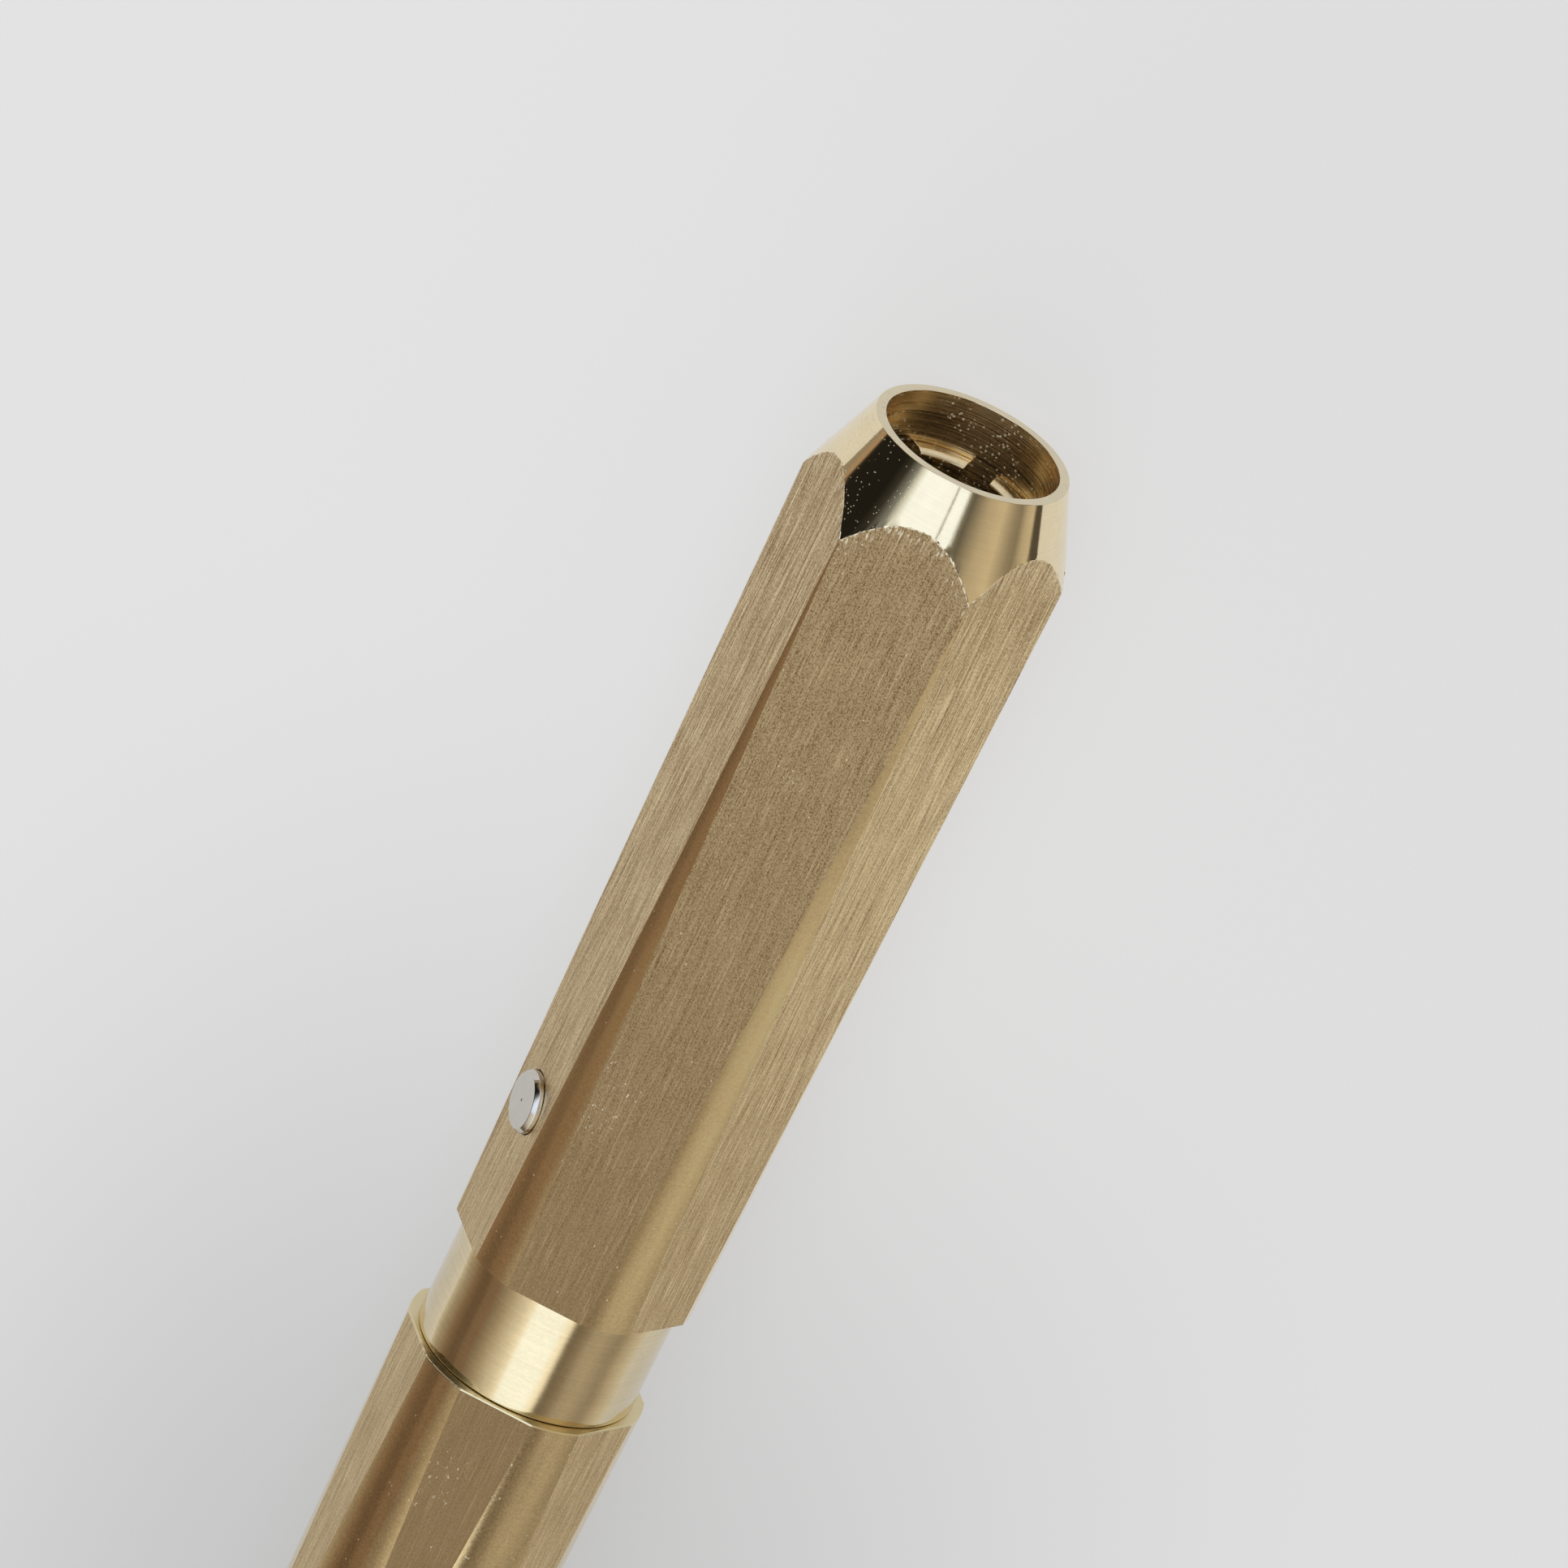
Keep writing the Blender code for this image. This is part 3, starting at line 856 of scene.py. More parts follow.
def join_skins(name: str, skins: Sequence[Skin], sharp_degrees: float) -> bpy.types.Mesh:
    """Put closed surfaces into one mesh.

    Args:
        name: the mesh's name.
        skins: the surfaces.
        sharp_degrees: the angle above which an edge stays sharp.

    Returns:
        The mesh, shaded smooth between its sharp edges.
    """
    corners: list[np.ndarray] = []
    faces: list[list[int]] = []
    zones: list[np.ndarray] = []
    start = 0
    for skin in skins:
        quads, caps, numbers = skin.faces()
        corners.append(skin.points.reshape(-1, 3))
        faces += (quads + start).tolist()
        faces += [(cap + start).tolist() for cap in caps]
        zones.append(numbers)
        start += len(corners[-1])
    mesh = bpy.data.meshes.new(name)
    mesh.from_pydata(np.concatenate(corners).tolist(), [], faces)
    mesh.polygons.foreach_set("material_index", np.concatenate(zones).astype(np.int32))
    mesh.update(calc_edges=True)
    smooth_between(mesh, sharp_degrees)
    return mesh


def smooth_between(mesh: bpy.types.Mesh, sharp_degrees: float) -> None:
    """Shade a mesh smooth, apart from edges above an angle."""
    mesh.shade_smooth()
    mesh.set_sharp_from_angle(angle=math.radians(sharp_degrees))


def add_piece(
    mesh: bpy.types.Mesh, finishes: Sequence[bpy.types.Material], body: str, node: str
) -> bpy.types.Object:
    """Link a mesh as a piece of the same name that stands for a CAD node.

    Args:
        mesh: the finished mesh.
        finishes: its materials, in the order of the mesh's finish numbers.
        body: the CAD body that it rides on.
        node: the CAD node that it replaces.

    Returns:
        The piece.
    """
    piece = bpy.data.objects.new(mesh.name, mesh)
    for finish in finishes[len(mesh.materials):]:
        mesh.materials.append(finish)
    bpy.context.scene.collection.objects.link(piece)
    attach(piece, body)
    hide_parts(node)
    LOG.info("%s: %d faces, rides on %s", piece.name, len(mesh.polygons), body)
    return piece


def rounded(corners: Sequence[Triple], closed: bool, steps: int = 4) -> np.ndarray:
    """Round the corners of a profile.

    At each corner the line from the point one radius before it to the point one
    radius after it is the quadratic curve that the corner pulls.

    Args:
        corners: (radius, station, rounding) for each corner.
        closed: whether the last corner joins the first.
        steps: the parts of each rounding.

    Returns:
        (radius, station) points.
    """
    place = np.array([corner[:2] for corner in corners])
    size = np.array([corner[2] for corner in corners])
    before = np.roll(place, 1, axis=0) - place
    after = np.roll(place, -1, axis=0) - place
    least = 1e-9
    before = before / np.maximum(np.linalg.norm(before, axis=1, keepdims=True), least)
    after = after / np.maximum(np.linalg.norm(after, axis=1, keepdims=True), least)
    share = np.linspace(0.0, 1.0, steps + 1)[None, :, None]
    start = (place + before * size[:, None])[:, None, :]
    end = (place + after * size[:, None])[:, None, :]
    curve = start * (1 - share) ** 2 + place[:, None, :] * 2 * share * (1 - share) + end * share ** 2
    keep = np.ones(curve.shape[:2], dtype=bool)
    keep[size <= 0.0, 1:] = False
    if not closed:
        keep[[0, -1], 1:] = False
        curve[[0, -1], 0] = place[[0, -1]]
    return curve[keep]


def subdivided(profile: np.ndarray, longest: float, closed: bool) -> np.ndarray:
    """Split the long steps of a profile.

    Args:
        profile: (radius, station) points.
        longest: the longest step that is left.
        closed: whether the last point joins the first.

    Returns:
        The profile with points added along its straight parts.
    """
    following = np.roll(profile, -1, axis=0) if closed else profile[1:]
    start = profile if closed else profile[:-1]
    parts = np.maximum(np.ceil(np.linalg.norm(following - start, axis=1) / longest), 1).astype(int)
    owner = np.repeat(np.arange(len(parts)), parts)
    step = np.arange(len(owner)) - np.repeat(np.cumsum(parts) - parts, parts)
    share = (step / parts[owner])[:, None]
    points = start[owner] * (1.0 - share) + following[owner] * share
    return points if closed else np.concatenate([points, profile[-1:]])


class BarrelZone(IntEnum):
    """Finish numbers of a barrel's surface."""

    TOP_FLAT = 0
    FLAT = 1
    LAND = 2
    CONE = 3
    RIM = 4
    BORE = 5
    LEDGE = 6
    END = 7


def zone_rows(columns: int, *runs: tuple[BarrelZone, int]) -> np.ndarray:
    """Lay out finish numbers that are the same all along a row.

    Args:
        columns: the length of a row.
        runs: zones, each with its number of rows.

    Returns:
        The finish numbers of all rows.
    """
    zones, rows = zip(*runs)
    numbers = np.repeat(np.array(zones, dtype=int), rows)
    return np.broadcast_to(numbers[:, None], (len(numbers), columns))


@dataclass
class HexColumns:
    """The columns of a barrel: six flats with turned lands between them.

    A column on a flat keeps its share of the flat's half width, and a column on a
    land keeps its share of the land's angle, while both widths change with the taper.
    """

    apothem: float
    flat_steps: int
    land_steps: int
    least_angle: float = math.radians(1.5)
    share: np.ndarray = field(init=False)
    on_flat: np.ndarray = field(init=False)
    centre: np.ndarray = field(init=False)

    def __post_init__(self) -> None:
        """Lay out the columns of the six sectors."""
        flat = np.linspace(-1.0, 1.0, self.flat_steps + 1)
        land = np.arange(1, self.land_steps) / self.land_steps
        self.share = np.tile(np.concatenate([flat, land]), HEX_SIDES)
        self.on_flat = np.tile(np.arange(len(flat) + len(land)) < len(flat), HEX_SIDES)
        self.centre = np.repeat(np.arange(HEX_SIDES) * SECTOR, len(flat) + len(land))

    def outline(self, stock: np.ndarray, share: np.ndarray) -> tuple[np.ndarray, np.ndarray]:
        """Work out every column where the stock has these radii.

        The flat's half angle is acos(apothem / stock). On a flat the radius is
        apothem / cos(angle), and on a land it is the stock's.

        Args:
            stock: the turned radius, for rows and columns.
            share: each column's share.

        Returns:
            Radius and angle arrays.
        """
        half = np.arccos(np.minimum(self.apothem / stock, 1.0))
        wide = np.maximum(half, self.least_angle)
        across = np.arctan(share * np.tan(wide))
        walk = wide + (SECTOR - 2.0 * wide) * share
        angle = np.where(self.on_flat, across, walk)
        from_flat = np.minimum(np.abs(angle), np.abs(SECTOR - angle))
        radius = np.minimum(self.apothem / np.cos(from_flat), stock)
        return radius, angle + self.centre

    def zones(self, rows: int) -> np.ndarray:
        """Lay out the finish numbers of rows that run along the flats and lands.

        Args:
            rows: the number of rows.

        Returns:
            The finish numbers.
        """
        side = np.where(self.centre < SECTOR / 2.0, BarrelZone.TOP_FLAT, BarrelZone.FLAT)
        inside = self.on_flat & np.roll(self.on_flat, -1)
        return np.broadcast_to(np.where(inside, side, BarrelZone.LAND), (rows, len(inside)))


def brass_finishes(edge: ConeEdge) -> list[bpy.types.Material]:
    """Make the finishes that both barrels share.

    Args:
        edge: the edge between flats and cone.

    Returns:
        The materials in the order of the barrel zones.
    """
    # Painted shade: the top flat gets a darker copy of the flats' brushed brass.
    shaded_top_flat = BrushedFlat(
        edge,
        "top_flat_painted_shade",
        colour=(0.335, 0.227, 0.114),
        broad_share=0.10,
        fineness=16.0,
        fine_share=0.80,
        grain_share=1.80,
        line_share=0.20,
        scratch_share=0.10,
        scuff_share=0.5,
        fade=0.70,
        painted_shade_drift=0.24,
        lean=0.0,
        roughness=0.50,
    )
    ledge = PolishedCone(
        "turned_ledge",
        colour=(0.88, 0.76, 0.48),
        roughness=0.30,
        pit_share=0.4,
        grime_share=0.7,
        soiled=(0.8, 5.2),
    )
    finishes: dict[BarrelZone, Finish] = {
        BarrelZone.TOP_FLAT: shaded_top_flat,
        BarrelZone.FLAT: BrushedFlat(edge),
        BarrelZone.LAND: TurnedLand(edge),
        BarrelZone.CONE: PolishedCone(),
        BarrelZone.RIM: PolishedCone("polished_rim", colour=(0.80, 0.70, 0.50), roughness=0.14),
        BarrelZone.BORE: BoredBrass(),
        BarrelZone.LEDGE: ledge,
        BarrelZone.END: FacedEnd(edge),
    }
    return [finishes[zone].material() for zone in BarrelZone]


@dataclass
class HexBarrel:
    """Hexagonal bar that is turned to a slight taper, which leaves lands at its corners."""

    lathe: Lathe
    front: float
    length: float
    stock_front: float
    flat_steps: int
    land_steps: int
    apothem: float = 6.0
    taper: float = math.radians(0.75)
    bore_edge: float = 0.2
    columns: HexColumns = field(init=False)

    def __post_init__(self) -> None:
        """Lay out the columns round the barrel."""
        self.columns = HexColumns(self.apothem, self.flat_steps, self.land_steps)

    def stock(self, station: np.ndarray) -> np.ndarray:
        """Return the turned radius, which falls evenly towards the rear."""
        return self.stock_front - (station - self.front) * math.tan(self.taper)


@dataclass
class NoseBarrel(HexBarrel):
    """Front barrel: turned cone, six scalloped flats, stepped bore and button hole."""

    front: float = 0.0
    length: float = 48.8
    stock_front: float = 6.985
    flat_steps: int = 64
    land_steps: int = 14
    rim_radius: float = 5.0
    mouth_radius: float = 4.5
    mouth_depth: float = 4.5
    guide_radius: float = 4.3
    guide_front: float = 6.5
    chamber_radius: float = 5.05
    chamber_front: float = 36.0
    chamber_step: float = 0.75
    cone_angle: float = math.radians(21.5)
    rim_round: float = 0.05
    hole_radius: float = 1.635
    hole_chamfer: float = 0.05
    hole_steps: int = 96
    cut_reach: float = 1.5
    body_rows: int = 24
    cone_rows: int = 8
    first_row: float = 0.001
    bore_step: float = 2.0
    edge_wander: float = 0.02
    burr: float = 0.06
    edge_seed: int = 4
    sharp_degrees: float = 7.0

    def edge(self) -> ConeEdge:
        """Return the edge between flats and cone, as the finishes need it."""
        mouth, _, height = self.lathe.origin.tolist()
        return ConeEdge(mouth, height, self.rim_radius, self.cone_angle)

    def scallop(self) -> tuple[np.ndarray, np.ndarray]:
        """Work out where each column leaves the cone.

        The cone's radius rim + s tan(a) meets a flat where it equals
        hypot(apothem, offset), and meets the stock at one station all round.

        Returns:
            The station of each column and its share of the flat or land.
        """
        columns = self.columns
        slope = math.tan(self.cone_angle)
        corner = (self.stock_front - self.rim_radius) / (slope + math.tan(self.taper))
        half = math.sqrt(float(self.stock(np.array(corner))) ** 2 - self.apothem ** 2)
        offset = columns.share * half
        front = np.where(columns.on_flat, (np.hypot(self.apothem, offset) - self.rim_radius) / slope, corner)
        width = np.sqrt(self.stock(front) ** 2 - self.apothem ** 2)
        share = np.where(columns.on_flat, offset / width, columns.share)
        return front, share

    def bore(self) -> tuple[np.ndarray, np.ndarray]:
        """Work out the profile of the bore and of the rim.

        Returns:
            (radius, station) points from the rear end to the mouth, and from there over the rim.
        """
        lead = 1.0
        rim = rounded(
            [
                (self.mouth_radius, lead, 0.0),
                (self.mouth_radius, 0.0, self.rim_round),
                (self.rim_radius, 0.0, self.rim_round),
                (self.rim_radius + lead * math.tan(self.cone_angle), lead, 0.0),
            ],
            closed=False,
        )[1:-1]
        steps = np.array(
            [
                (self.chamber_radius + self.bore_edge, self.length),
                (self.chamber_radius, self.length - self.bore_edge),
                (self.chamber_radius, self.chamber_front + self.chamber_step),
                (self.guide_radius, self.chamber_front),
                (self.guide_radius, self.guide_front),
                (self.mouth_radius, self.mouth_depth),
            ]
        )
        return subdivided(steps, self.bore_step, closed=False), rim

    def skin(self) -> Skin:
        """Work out the barrel's surface.

        Rows run from the rear end inside the bore to the rim, over the cone to the
        scallops, back along flats and lands, and over the rear face to the start.

        Returns:
            The closed surface.
        """
        columns = self.columns
        clean_front, share = self.scallop()
        chance = np.random.default_rng(self.edge_seed)
        ragged = np.where(np.abs(columns.share) < 1.0, chance.normal(0.0, 1.0, clean_front.shape), 0.0)
        front = clean_front + np.where(columns.on_flat, ragged * self.edge_wander, 0.0)
        along = np.concatenate([[0.0, self.first_row], np.linspace(0.0, 1.0, self.body_rows + 1)[1:]])
        along = along[:, None]
        body_station = front * (1.0 - along) + self.length * along
        body_radius, body_angle = columns.outline(self.stock(body_station), share)
        front_angle = body_angle[0]
        rear_angle = body_angle[-1]

        bore, rim = self.bore()
        inner = np.concatenate([bore, rim])
        inner_station = np.broadcast_to(inner[:, 1:2], (len(inner), len(front)))
        inner_radius = np.broadcast_to(inner[:, 0:1], inner_station.shape)
        blend = np.clip(inner_station / self.length, 0.0, 1.0)
        inner_angle = front_angle * (1.0 - blend) + rear_angle * blend

        climb = np.linspace(0.0, 1.0, self.cone_rows + 1)[1:, None]
        cone_station = inner[-1, 1] * (1.0 - climb) + (clean_front - self.burr) * climb
        cone_radius = self.rim_radius + cone_station * math.tan(self.cone_angle)
        cone_angle = np.broadcast_to(front_angle, cone_station.shape)

        station = np.concatenate([inner_station, cone_station, body_station])
        radius = np.concatenate([inner_radius, cone_radius, body_radius])
        angle = np.concatenate([inner_angle, cone_angle, body_angle])
        zones = np.concatenate(
            [
                zone_rows(len(front), (BarrelZone.BORE, len(bore)), (BarrelZone.RIM, len(rim) - 1)),
                zone_rows(len(front), (BarrelZone.CONE, len(climb) + 1)),
                columns.zones(len(along) - 1),
                zone_rows(len(front), (BarrelZone.RIM, 1)),
            ]
        )
        return Skin(self.lathe.points(station, radius, angle), zones, ring=True)

    def hole(self, press: Lathe) -> Skin:
        """Work out the body that cuts the button's hole and its chamfer.

        Args:
            press: the button's axis.

        Returns:
            The closed surface.
        """
        low = self.chamber_radius - self.cut_reach
        high = self.apothem + self.cut_reach
        profile = np.array(
            [
                (POLE, low),
                (self.hole_radius, low),
                (self.hole_radius, self.apothem - self.hole_chamfer),
                (self.hole_radius + self.hole_chamfer + self.cut_reach, high),
                (POLE, high),
            ]
        )
        return press.turned(profile, self.hole_steps, BarrelZone.RIM, ring=False)

    def build(self, finishes: Sequence[bpy.types.Material], press: Lathe) -> bpy.types.Object:
        """Cut the hole through the wall and dress the barrel.

        Args:
            finishes: the brass finishes.
            press: the button's axis.

        Returns:
            The piece.
        """
        blank = bpy.data.objects.new("blank", join_skins("blank", [self.skin()], ALL_SMOOTH))
        cutter = bpy.data.objects.new("cutter", join_skins("cutter", [self.hole(press)], ALL_SMOOTH))
        for item in (blank, cutter):
            bpy.context.scene.collection.objects.link(item)
            for finish in finishes:
                item.data.materials.append(finish)
        modifier = blank.modifiers.new("button_hole", "BOOLEAN")
        modifier.operation = "DIFFERENCE"
        modifier.solver = "EXACT"
        modifier.object = cutter
        bpy.context.view_layer.update()
        graph = bpy.context.evaluated_depsgraph_get()
        mesh = bpy.data.meshes.new_from_object(blank.evaluated_get(graph))
        for item in (blank, cutter):
            spare = item.data
            bpy.data.objects.remove(item)
            bpy.data.meshes.remove(spare)
        mesh.name = "nose_barrel_skin"
        smooth_between(mesh, self.sharp_degrees)
        return add_piece(mesh, finishes, "barrel", "nose_barrel")


@dataclass
class RearBarrel(HexBarrel):
    """Rear barrel: square front face, short flats that run out, and a long round tail."""

    front: float = 55.0
    length: float = 75.0
    stock_front: float = 6.315
    flat_steps: int = 40
    land_steps: int = 30
    edge_break: float = 0.08
    tail_round: float = 0.9
    pocket_radius: float = 5.05
    pocket_end: float = 61.6
    bore_radius: float = 3.9
    tail_solid: float = 13.0
    drill_angle: float = math.radians(59.0)
    flat_rows: int = 40
    round_rows: int = 30
    edge_rows: int = 4
    tail_rows: int = 8
    end_rings: Triple = (3.0, 1.2, POLE)
    bore_step: float = 3.0
    sharp_degrees: float = 4.0

    def bore(self) -> np.ndarray:
        """Work out the profile of the blind bore.

        Returns:
            (radius, station) points from the end of the drilled hole to the front face.
        """
        deepest = self.front + self.length - self.tail_solid
        steps = np.array(
            [
                (POLE, deepest),
                (self.bore_radius, deepest - self.bore_radius / math.tan(self.drill_angle)),
                (self.bore_radius, self.pocket_end),
                (self.pocket_radius, self.pocket_end),
                (self.pocket_radius, self.front + self.bore_edge),
                (self.pocket_radius + self.bore_edge, self.front),
            ]
        )
        return subdivided(steps, self.bore_step, closed=False)

    def skin(self) -> Skin:
        """Work out the barrel's surface.

        Rows run from the end of the blind bore to the front face, round its broken
        edge, along flats and lands and the round tail, to the middle of the tail's end.
        The flats run out where the tapering stock's radius falls to their apothem.

        Returns:
            The closed surface.
        """
        columns = self.columns
        wide = np.ones(len(columns.share))
        back = self.front + self.length
        tail = back - self.tail_round
        run_out = self.front + (self.stock_front - self.apothem) / math.tan(self.taper)
        flat_station = np.linspace(self.front + self.edge_break, run_out, self.flat_rows + 1)
        round_station = np.linspace(run_out, tail, self.round_rows + 1)[1:]
        body_station = np.concatenate([flat_station, round_station])[:, None] * wide
        body_radius, body_angle = columns.outline(self.stock(body_station), columns.share)

        quarter = math.pi / 2.0
        bend = np.linspace(0.0, quarter, self.edge_rows + 1)[:-1, None]
        edge_radius = body_radius[0] - self.edge_break * (1.0 - np.sin(bend))
        edge_station = self.front + self.edge_break * (1.0 - np.cos(bend))
        turn = np.linspace(0.0, quarter, self.tail_rows + 1)[1:, None]
        end_radius = body_radius[-1] - self.tail_round * (1.0 - np.cos(turn))
        end_station = tail + self.tail_round * np.sin(turn)
        middle = np.array(self.end_rings)[:, None]
        end_face = np.full(middle.shape, back)

        inner = self.bore()
        radius = np.concatenate([inner[:, 0:1] * wide, edge_radius, body_radius, end_radius, middle * wide])
        station = np.concatenate(
            [inner[:, 1:2] * wide, edge_station * wide, body_station, end_station * wide, end_face * wide]
        )
        angle = np.concatenate(
            [
                np.broadcast_to(body_angle[0], (len(inner) + len(bend), len(wide))),
                body_angle,
                np.broadcast_to(body_angle[-1], (len(turn) + len(middle), len(wide))),
            ]
        )
        round_rows = len(round_station) + len(turn)
        zones = np.concatenate(
            [
                zone_rows(len(wide), (BarrelZone.BORE, len(inner) - 1), (BarrelZone.LEDGE, len(bend) + 1)),
                columns.zones(len(flat_station) - 1),
                zone_rows(len(wide), (BarrelZone.LAND, round_rows), (BarrelZone.END, len(middle) + 1)),
            ]
        )
        return Skin(self.lathe.points(station, radius, angle), zones, ring=False)

    def build(self, finishes: Sequence[bpy.types.Material]) -> bpy.types.Object:
        """Dress the barrel with the brass finishes and return the piece."""
        mesh = join_skins("rear_barrel_skin", [self.skin()], self.sharp_degrees)
        return add_piece(mesh, finishes, "barrel", "rear_barrel")


@dataclass
class Collar:
    """Turned band between the barrels, with a tenon at each end."""

    lathe: Lathe
    band_front: float = 48.83
    band_back: float = 54.97
    band_radius: float = 5.765
    tenon_radius: float = 4.95
    tenon_front: float = 43.8
    tenon_back: float = 61.0
    tenon_chamfer: float = 0.4
    bore_radius: float = 3.9
    bulkhead: float = 2.0
    rod_hole: float = 1.35
    edge_round: float = 0.10
    steps: int = 192
    profile_step: float = 1.5
    sharp_degrees: float = 30.0

    def build(self) -> bpy.types.Object:
        """Turn the collar's profile and dress it.

        Returns:
            The piece.
        """
        corners = [
            (self.rod_hole, self.tenon_front, 0.0),
            (self.tenon_radius - self.tenon_chamfer, self.tenon_front, 0.0),
            (self.tenon_radius, self.tenon_front + self.tenon_chamfer, 0.0),
            (self.tenon_radius, self.band_front, 0.0),
            (self.band_radius, self.band_front, self.edge_round),
            (self.band_radius, self.band_back, self.edge_round),
            (self.tenon_radius, self.band_back, 0.0),
            (self.tenon_radius, self.tenon_back - self.tenon_chamfer, 0.0),
            (self.tenon_radius - self.tenon_chamfer, self.tenon_back, 0.0),
            (self.bore_radius, self.tenon_back, 0.0),
            (self.bore_radius, self.tenon_front + self.bulkhead, 0.0),
            (self.rod_hole, self.tenon_front + self.bulkhead, 0.0),
        ]
        profile = subdivided(rounded(corners, closed=True), self.profile_step, closed=True)
        skin = self.lathe.turned(profile, self.steps, 0, ring=True)
        mesh = join_skins("collar_skin", [skin], self.sharp_degrees)
        return add_piece(mesh, [TurnedCollar().material()], "barrel", "collar")


@dataclass
class Collet:
    """Six sprung jaws on a sleeve that carries the pencil."""

    lathe: Lathe
    tip: float = 2.8
    head_radius: float = 4.4
    head_end: float = 4.4
    body_radius: float = 4.2
    body_front: float = 6.4
    tip_chamfer: float = 0.05
    tip_land: float = 0.45
    lip_radius: float = 3.55
    lead_in: float = 0.20
    lip_end: float = 6.0
    lip_run_out: float = 1.2
    socket_radius: float = 3.85
    socket_floor: float = 31.0
    end: float = 34.0
    rod_hole: float = 1.35
    slot_width: float = 1.45
    slot_end: float = 22.8
    slot_phase: float = math.radians(11.0)
    edge_round: float = 0.04
    edge_parts: int = 3
    edge_degrees: float = 50.0
    lip_round: float = 0.05
    rim_round: float = 0.02
    taper_round: float = 0.10
    jaw_steps: int = 28
    jaw_step: float = 2.0
    sleeve_steps: int = 144
    sleeve_step: float = 3.0
    sharp_degrees: float = 25.0

    def jaw(self, number: int) -> Skin:
        """Work out one jaw.

        Its section is carried round from one slot's wall to the next. At each
        radius r the wall stands asin(half slot / r) from the slot's middle.

        Args:
            number: the jaw's place, from 0.

        Returns:
            The closed surface.
        """
        land_outer = self.head_radius - self.tip_chamfer
        corners = [
            (self.lip_radius, self.tip + self.lead_in, self.lip_round),
            (land_outer - self.tip_land, self.tip, self.lip_round),
            (land_outer, self.tip, self.rim_round),
            (self.head_radius, self.tip + self.tip_chamfer, self.rim_round),
            (self.head_radius, self.head_end, self.taper_round),
            (self.body_radius, self.body_front, self.taper_round),
            (self.body_radius, self.slot_end, 0.0),
            (self.socket_radius, self.slot_end, 0.0),
            (self.socket_radius, self.lip_end + self.lip_run_out, self.taper_round),
            (self.lip_radius, self.lip_end, self.taper_round),
        ]
        section = subdivided(rounded(corners, closed=True), self.jaw_step, closed=True)
        middle = self.slot_phase + SECTOR * number
        margin = np.arcsin(self.slot_width / 2.0 / section[:, 0])[None, :]
        share = np.linspace(0.0, 1.0, self.jaw_steps + 1)[:, None]
        angle = (middle + margin) * (1.0 - share) + (middle + SECTOR - margin) * share
        points = self.lathe.points(section[None, :, 1], section[None, :, 0], angle)
        return Skin(points, np.zeros(points.shape[:2], dtype=int), ring=False)

    def sleeve(self) -> Skin:
        """Work out the unslotted rear of the collet with its base.

        Returns:
            The closed surface.
        """
        corners = np.array(
            [
                (self.body_radius, self.slot_end),
                (self.body_radius, self.end),
                (self.rod_hole, self.end),
                (self.rod_hole, self.socket_floor),
                (self.socket_radius, self.socket_floor),
                (self.socket_radius, self.slot_end),
            ]
        )
        profile = subdivided(corners, self.sleeve_step, closed=True)
        return self.lathe.turned(profile, self.sleeve_steps, 0, ring=True)

    def build(self) -> bpy.types.Object:
        """Join jaws and sleeve, round the jaws' edges and dress the collet.

        Returns:
            The piece.
        """
        skins = [self.jaw(number) for number in range(HEX_SIDES)] + [self.sleeve()]
        mesh = join_skins("collet_skin", skins, self.sharp_degrees)
        finish = BoredBrass(
            "collet_brass",
            colour=(0.86, 0.73, 0.48),
            roughness=0.20,
            ring_depth=0.008,
            ring_share=1.2,
            chip_share=0.5,
        )
        piece = add_piece(mesh, [finish.material()], "clutch", "collet")
        bevel = piece.modifiers.new("edge_round", "BEVEL")
        bevel.width = self.edge_round * MM
        bevel.segments = self.edge_parts
        bevel.limit_method = "ANGLE"
        bevel.angle_limit = math.radians(self.edge_degrees)
        return piece


@dataclass
class PressButton:
    """Steel button with a bevelled head, a hidden flange and a ball tip."""

    lathe: Lathe
    face: float = 6.445
    radius: float = 1.60
    bevel_width: float = 0.17
    bevel_depth: float = 0.22
    flange_radius: float = 2.3
    flange_top: float = 4.396
    flange_bottom: float = 3.896
    tip_centre: float = 3.446
    tip_radius: float = 1.0
    dimple_radius: float = 0.09
    dimple_floor: float = 0.6
    dimple_depth: float = 0.035
    flange_round: float = 0.05
    face_round: float = 0.03
    small_round: float = 0.02
    ball_rows: int = 12
    steps: int = 128
    profile_step: float = 0.5
    sharp_degrees: float = 30.0

    def build(self) -> bpy.types.Object:
        """Turn the button's profile from the ball tip to the mark in its face, and dress it.

        Returns:
            The piece.
        """
        turn = np.linspace(-math.pi / 2.0, 0.0, self.ball_rows + 1)
        ball = self.tip_radius * np.stack([np.cos(turn), np.sin(turn)], axis=-1) + [0.0, self.tip_centre]
        ball[0, 0] = POLE
        head = rounded(
            [
                (self.tip_radius, self.flange_bottom, 0.0),
                (self.flange_radius, self.flange_bottom, self.flange_round),
                (self.flange_radius, self.flange_top, self.flange_round),
                (self.radius, self.flange_top, 0.0),
                (self.radius, self.face - self.bevel_depth, self.small_round),
                (self.radius - self.bevel_width, self.face, self.face_round),
                (self.dimple_radius, self.face, self.small_round),
                (self.dimple_radius * self.dimple_floor, self.face - self.dimple_depth, self.small_round),
                (POLE / 2.0, self.face - self.dimple_depth, 0.0),
            ],
            closed=False,
        )
        profile = subdivided(np.concatenate([ball, head]), self.profile_step, closed=False)
        skin = self.lathe.turned(profile, self.steps, 0, ring=False)
        mesh = join_skins("button_skin", [skin], self.sharp_degrees)
        return add_piece(mesh, [PolishedSteel().material()], "push_button", "button")


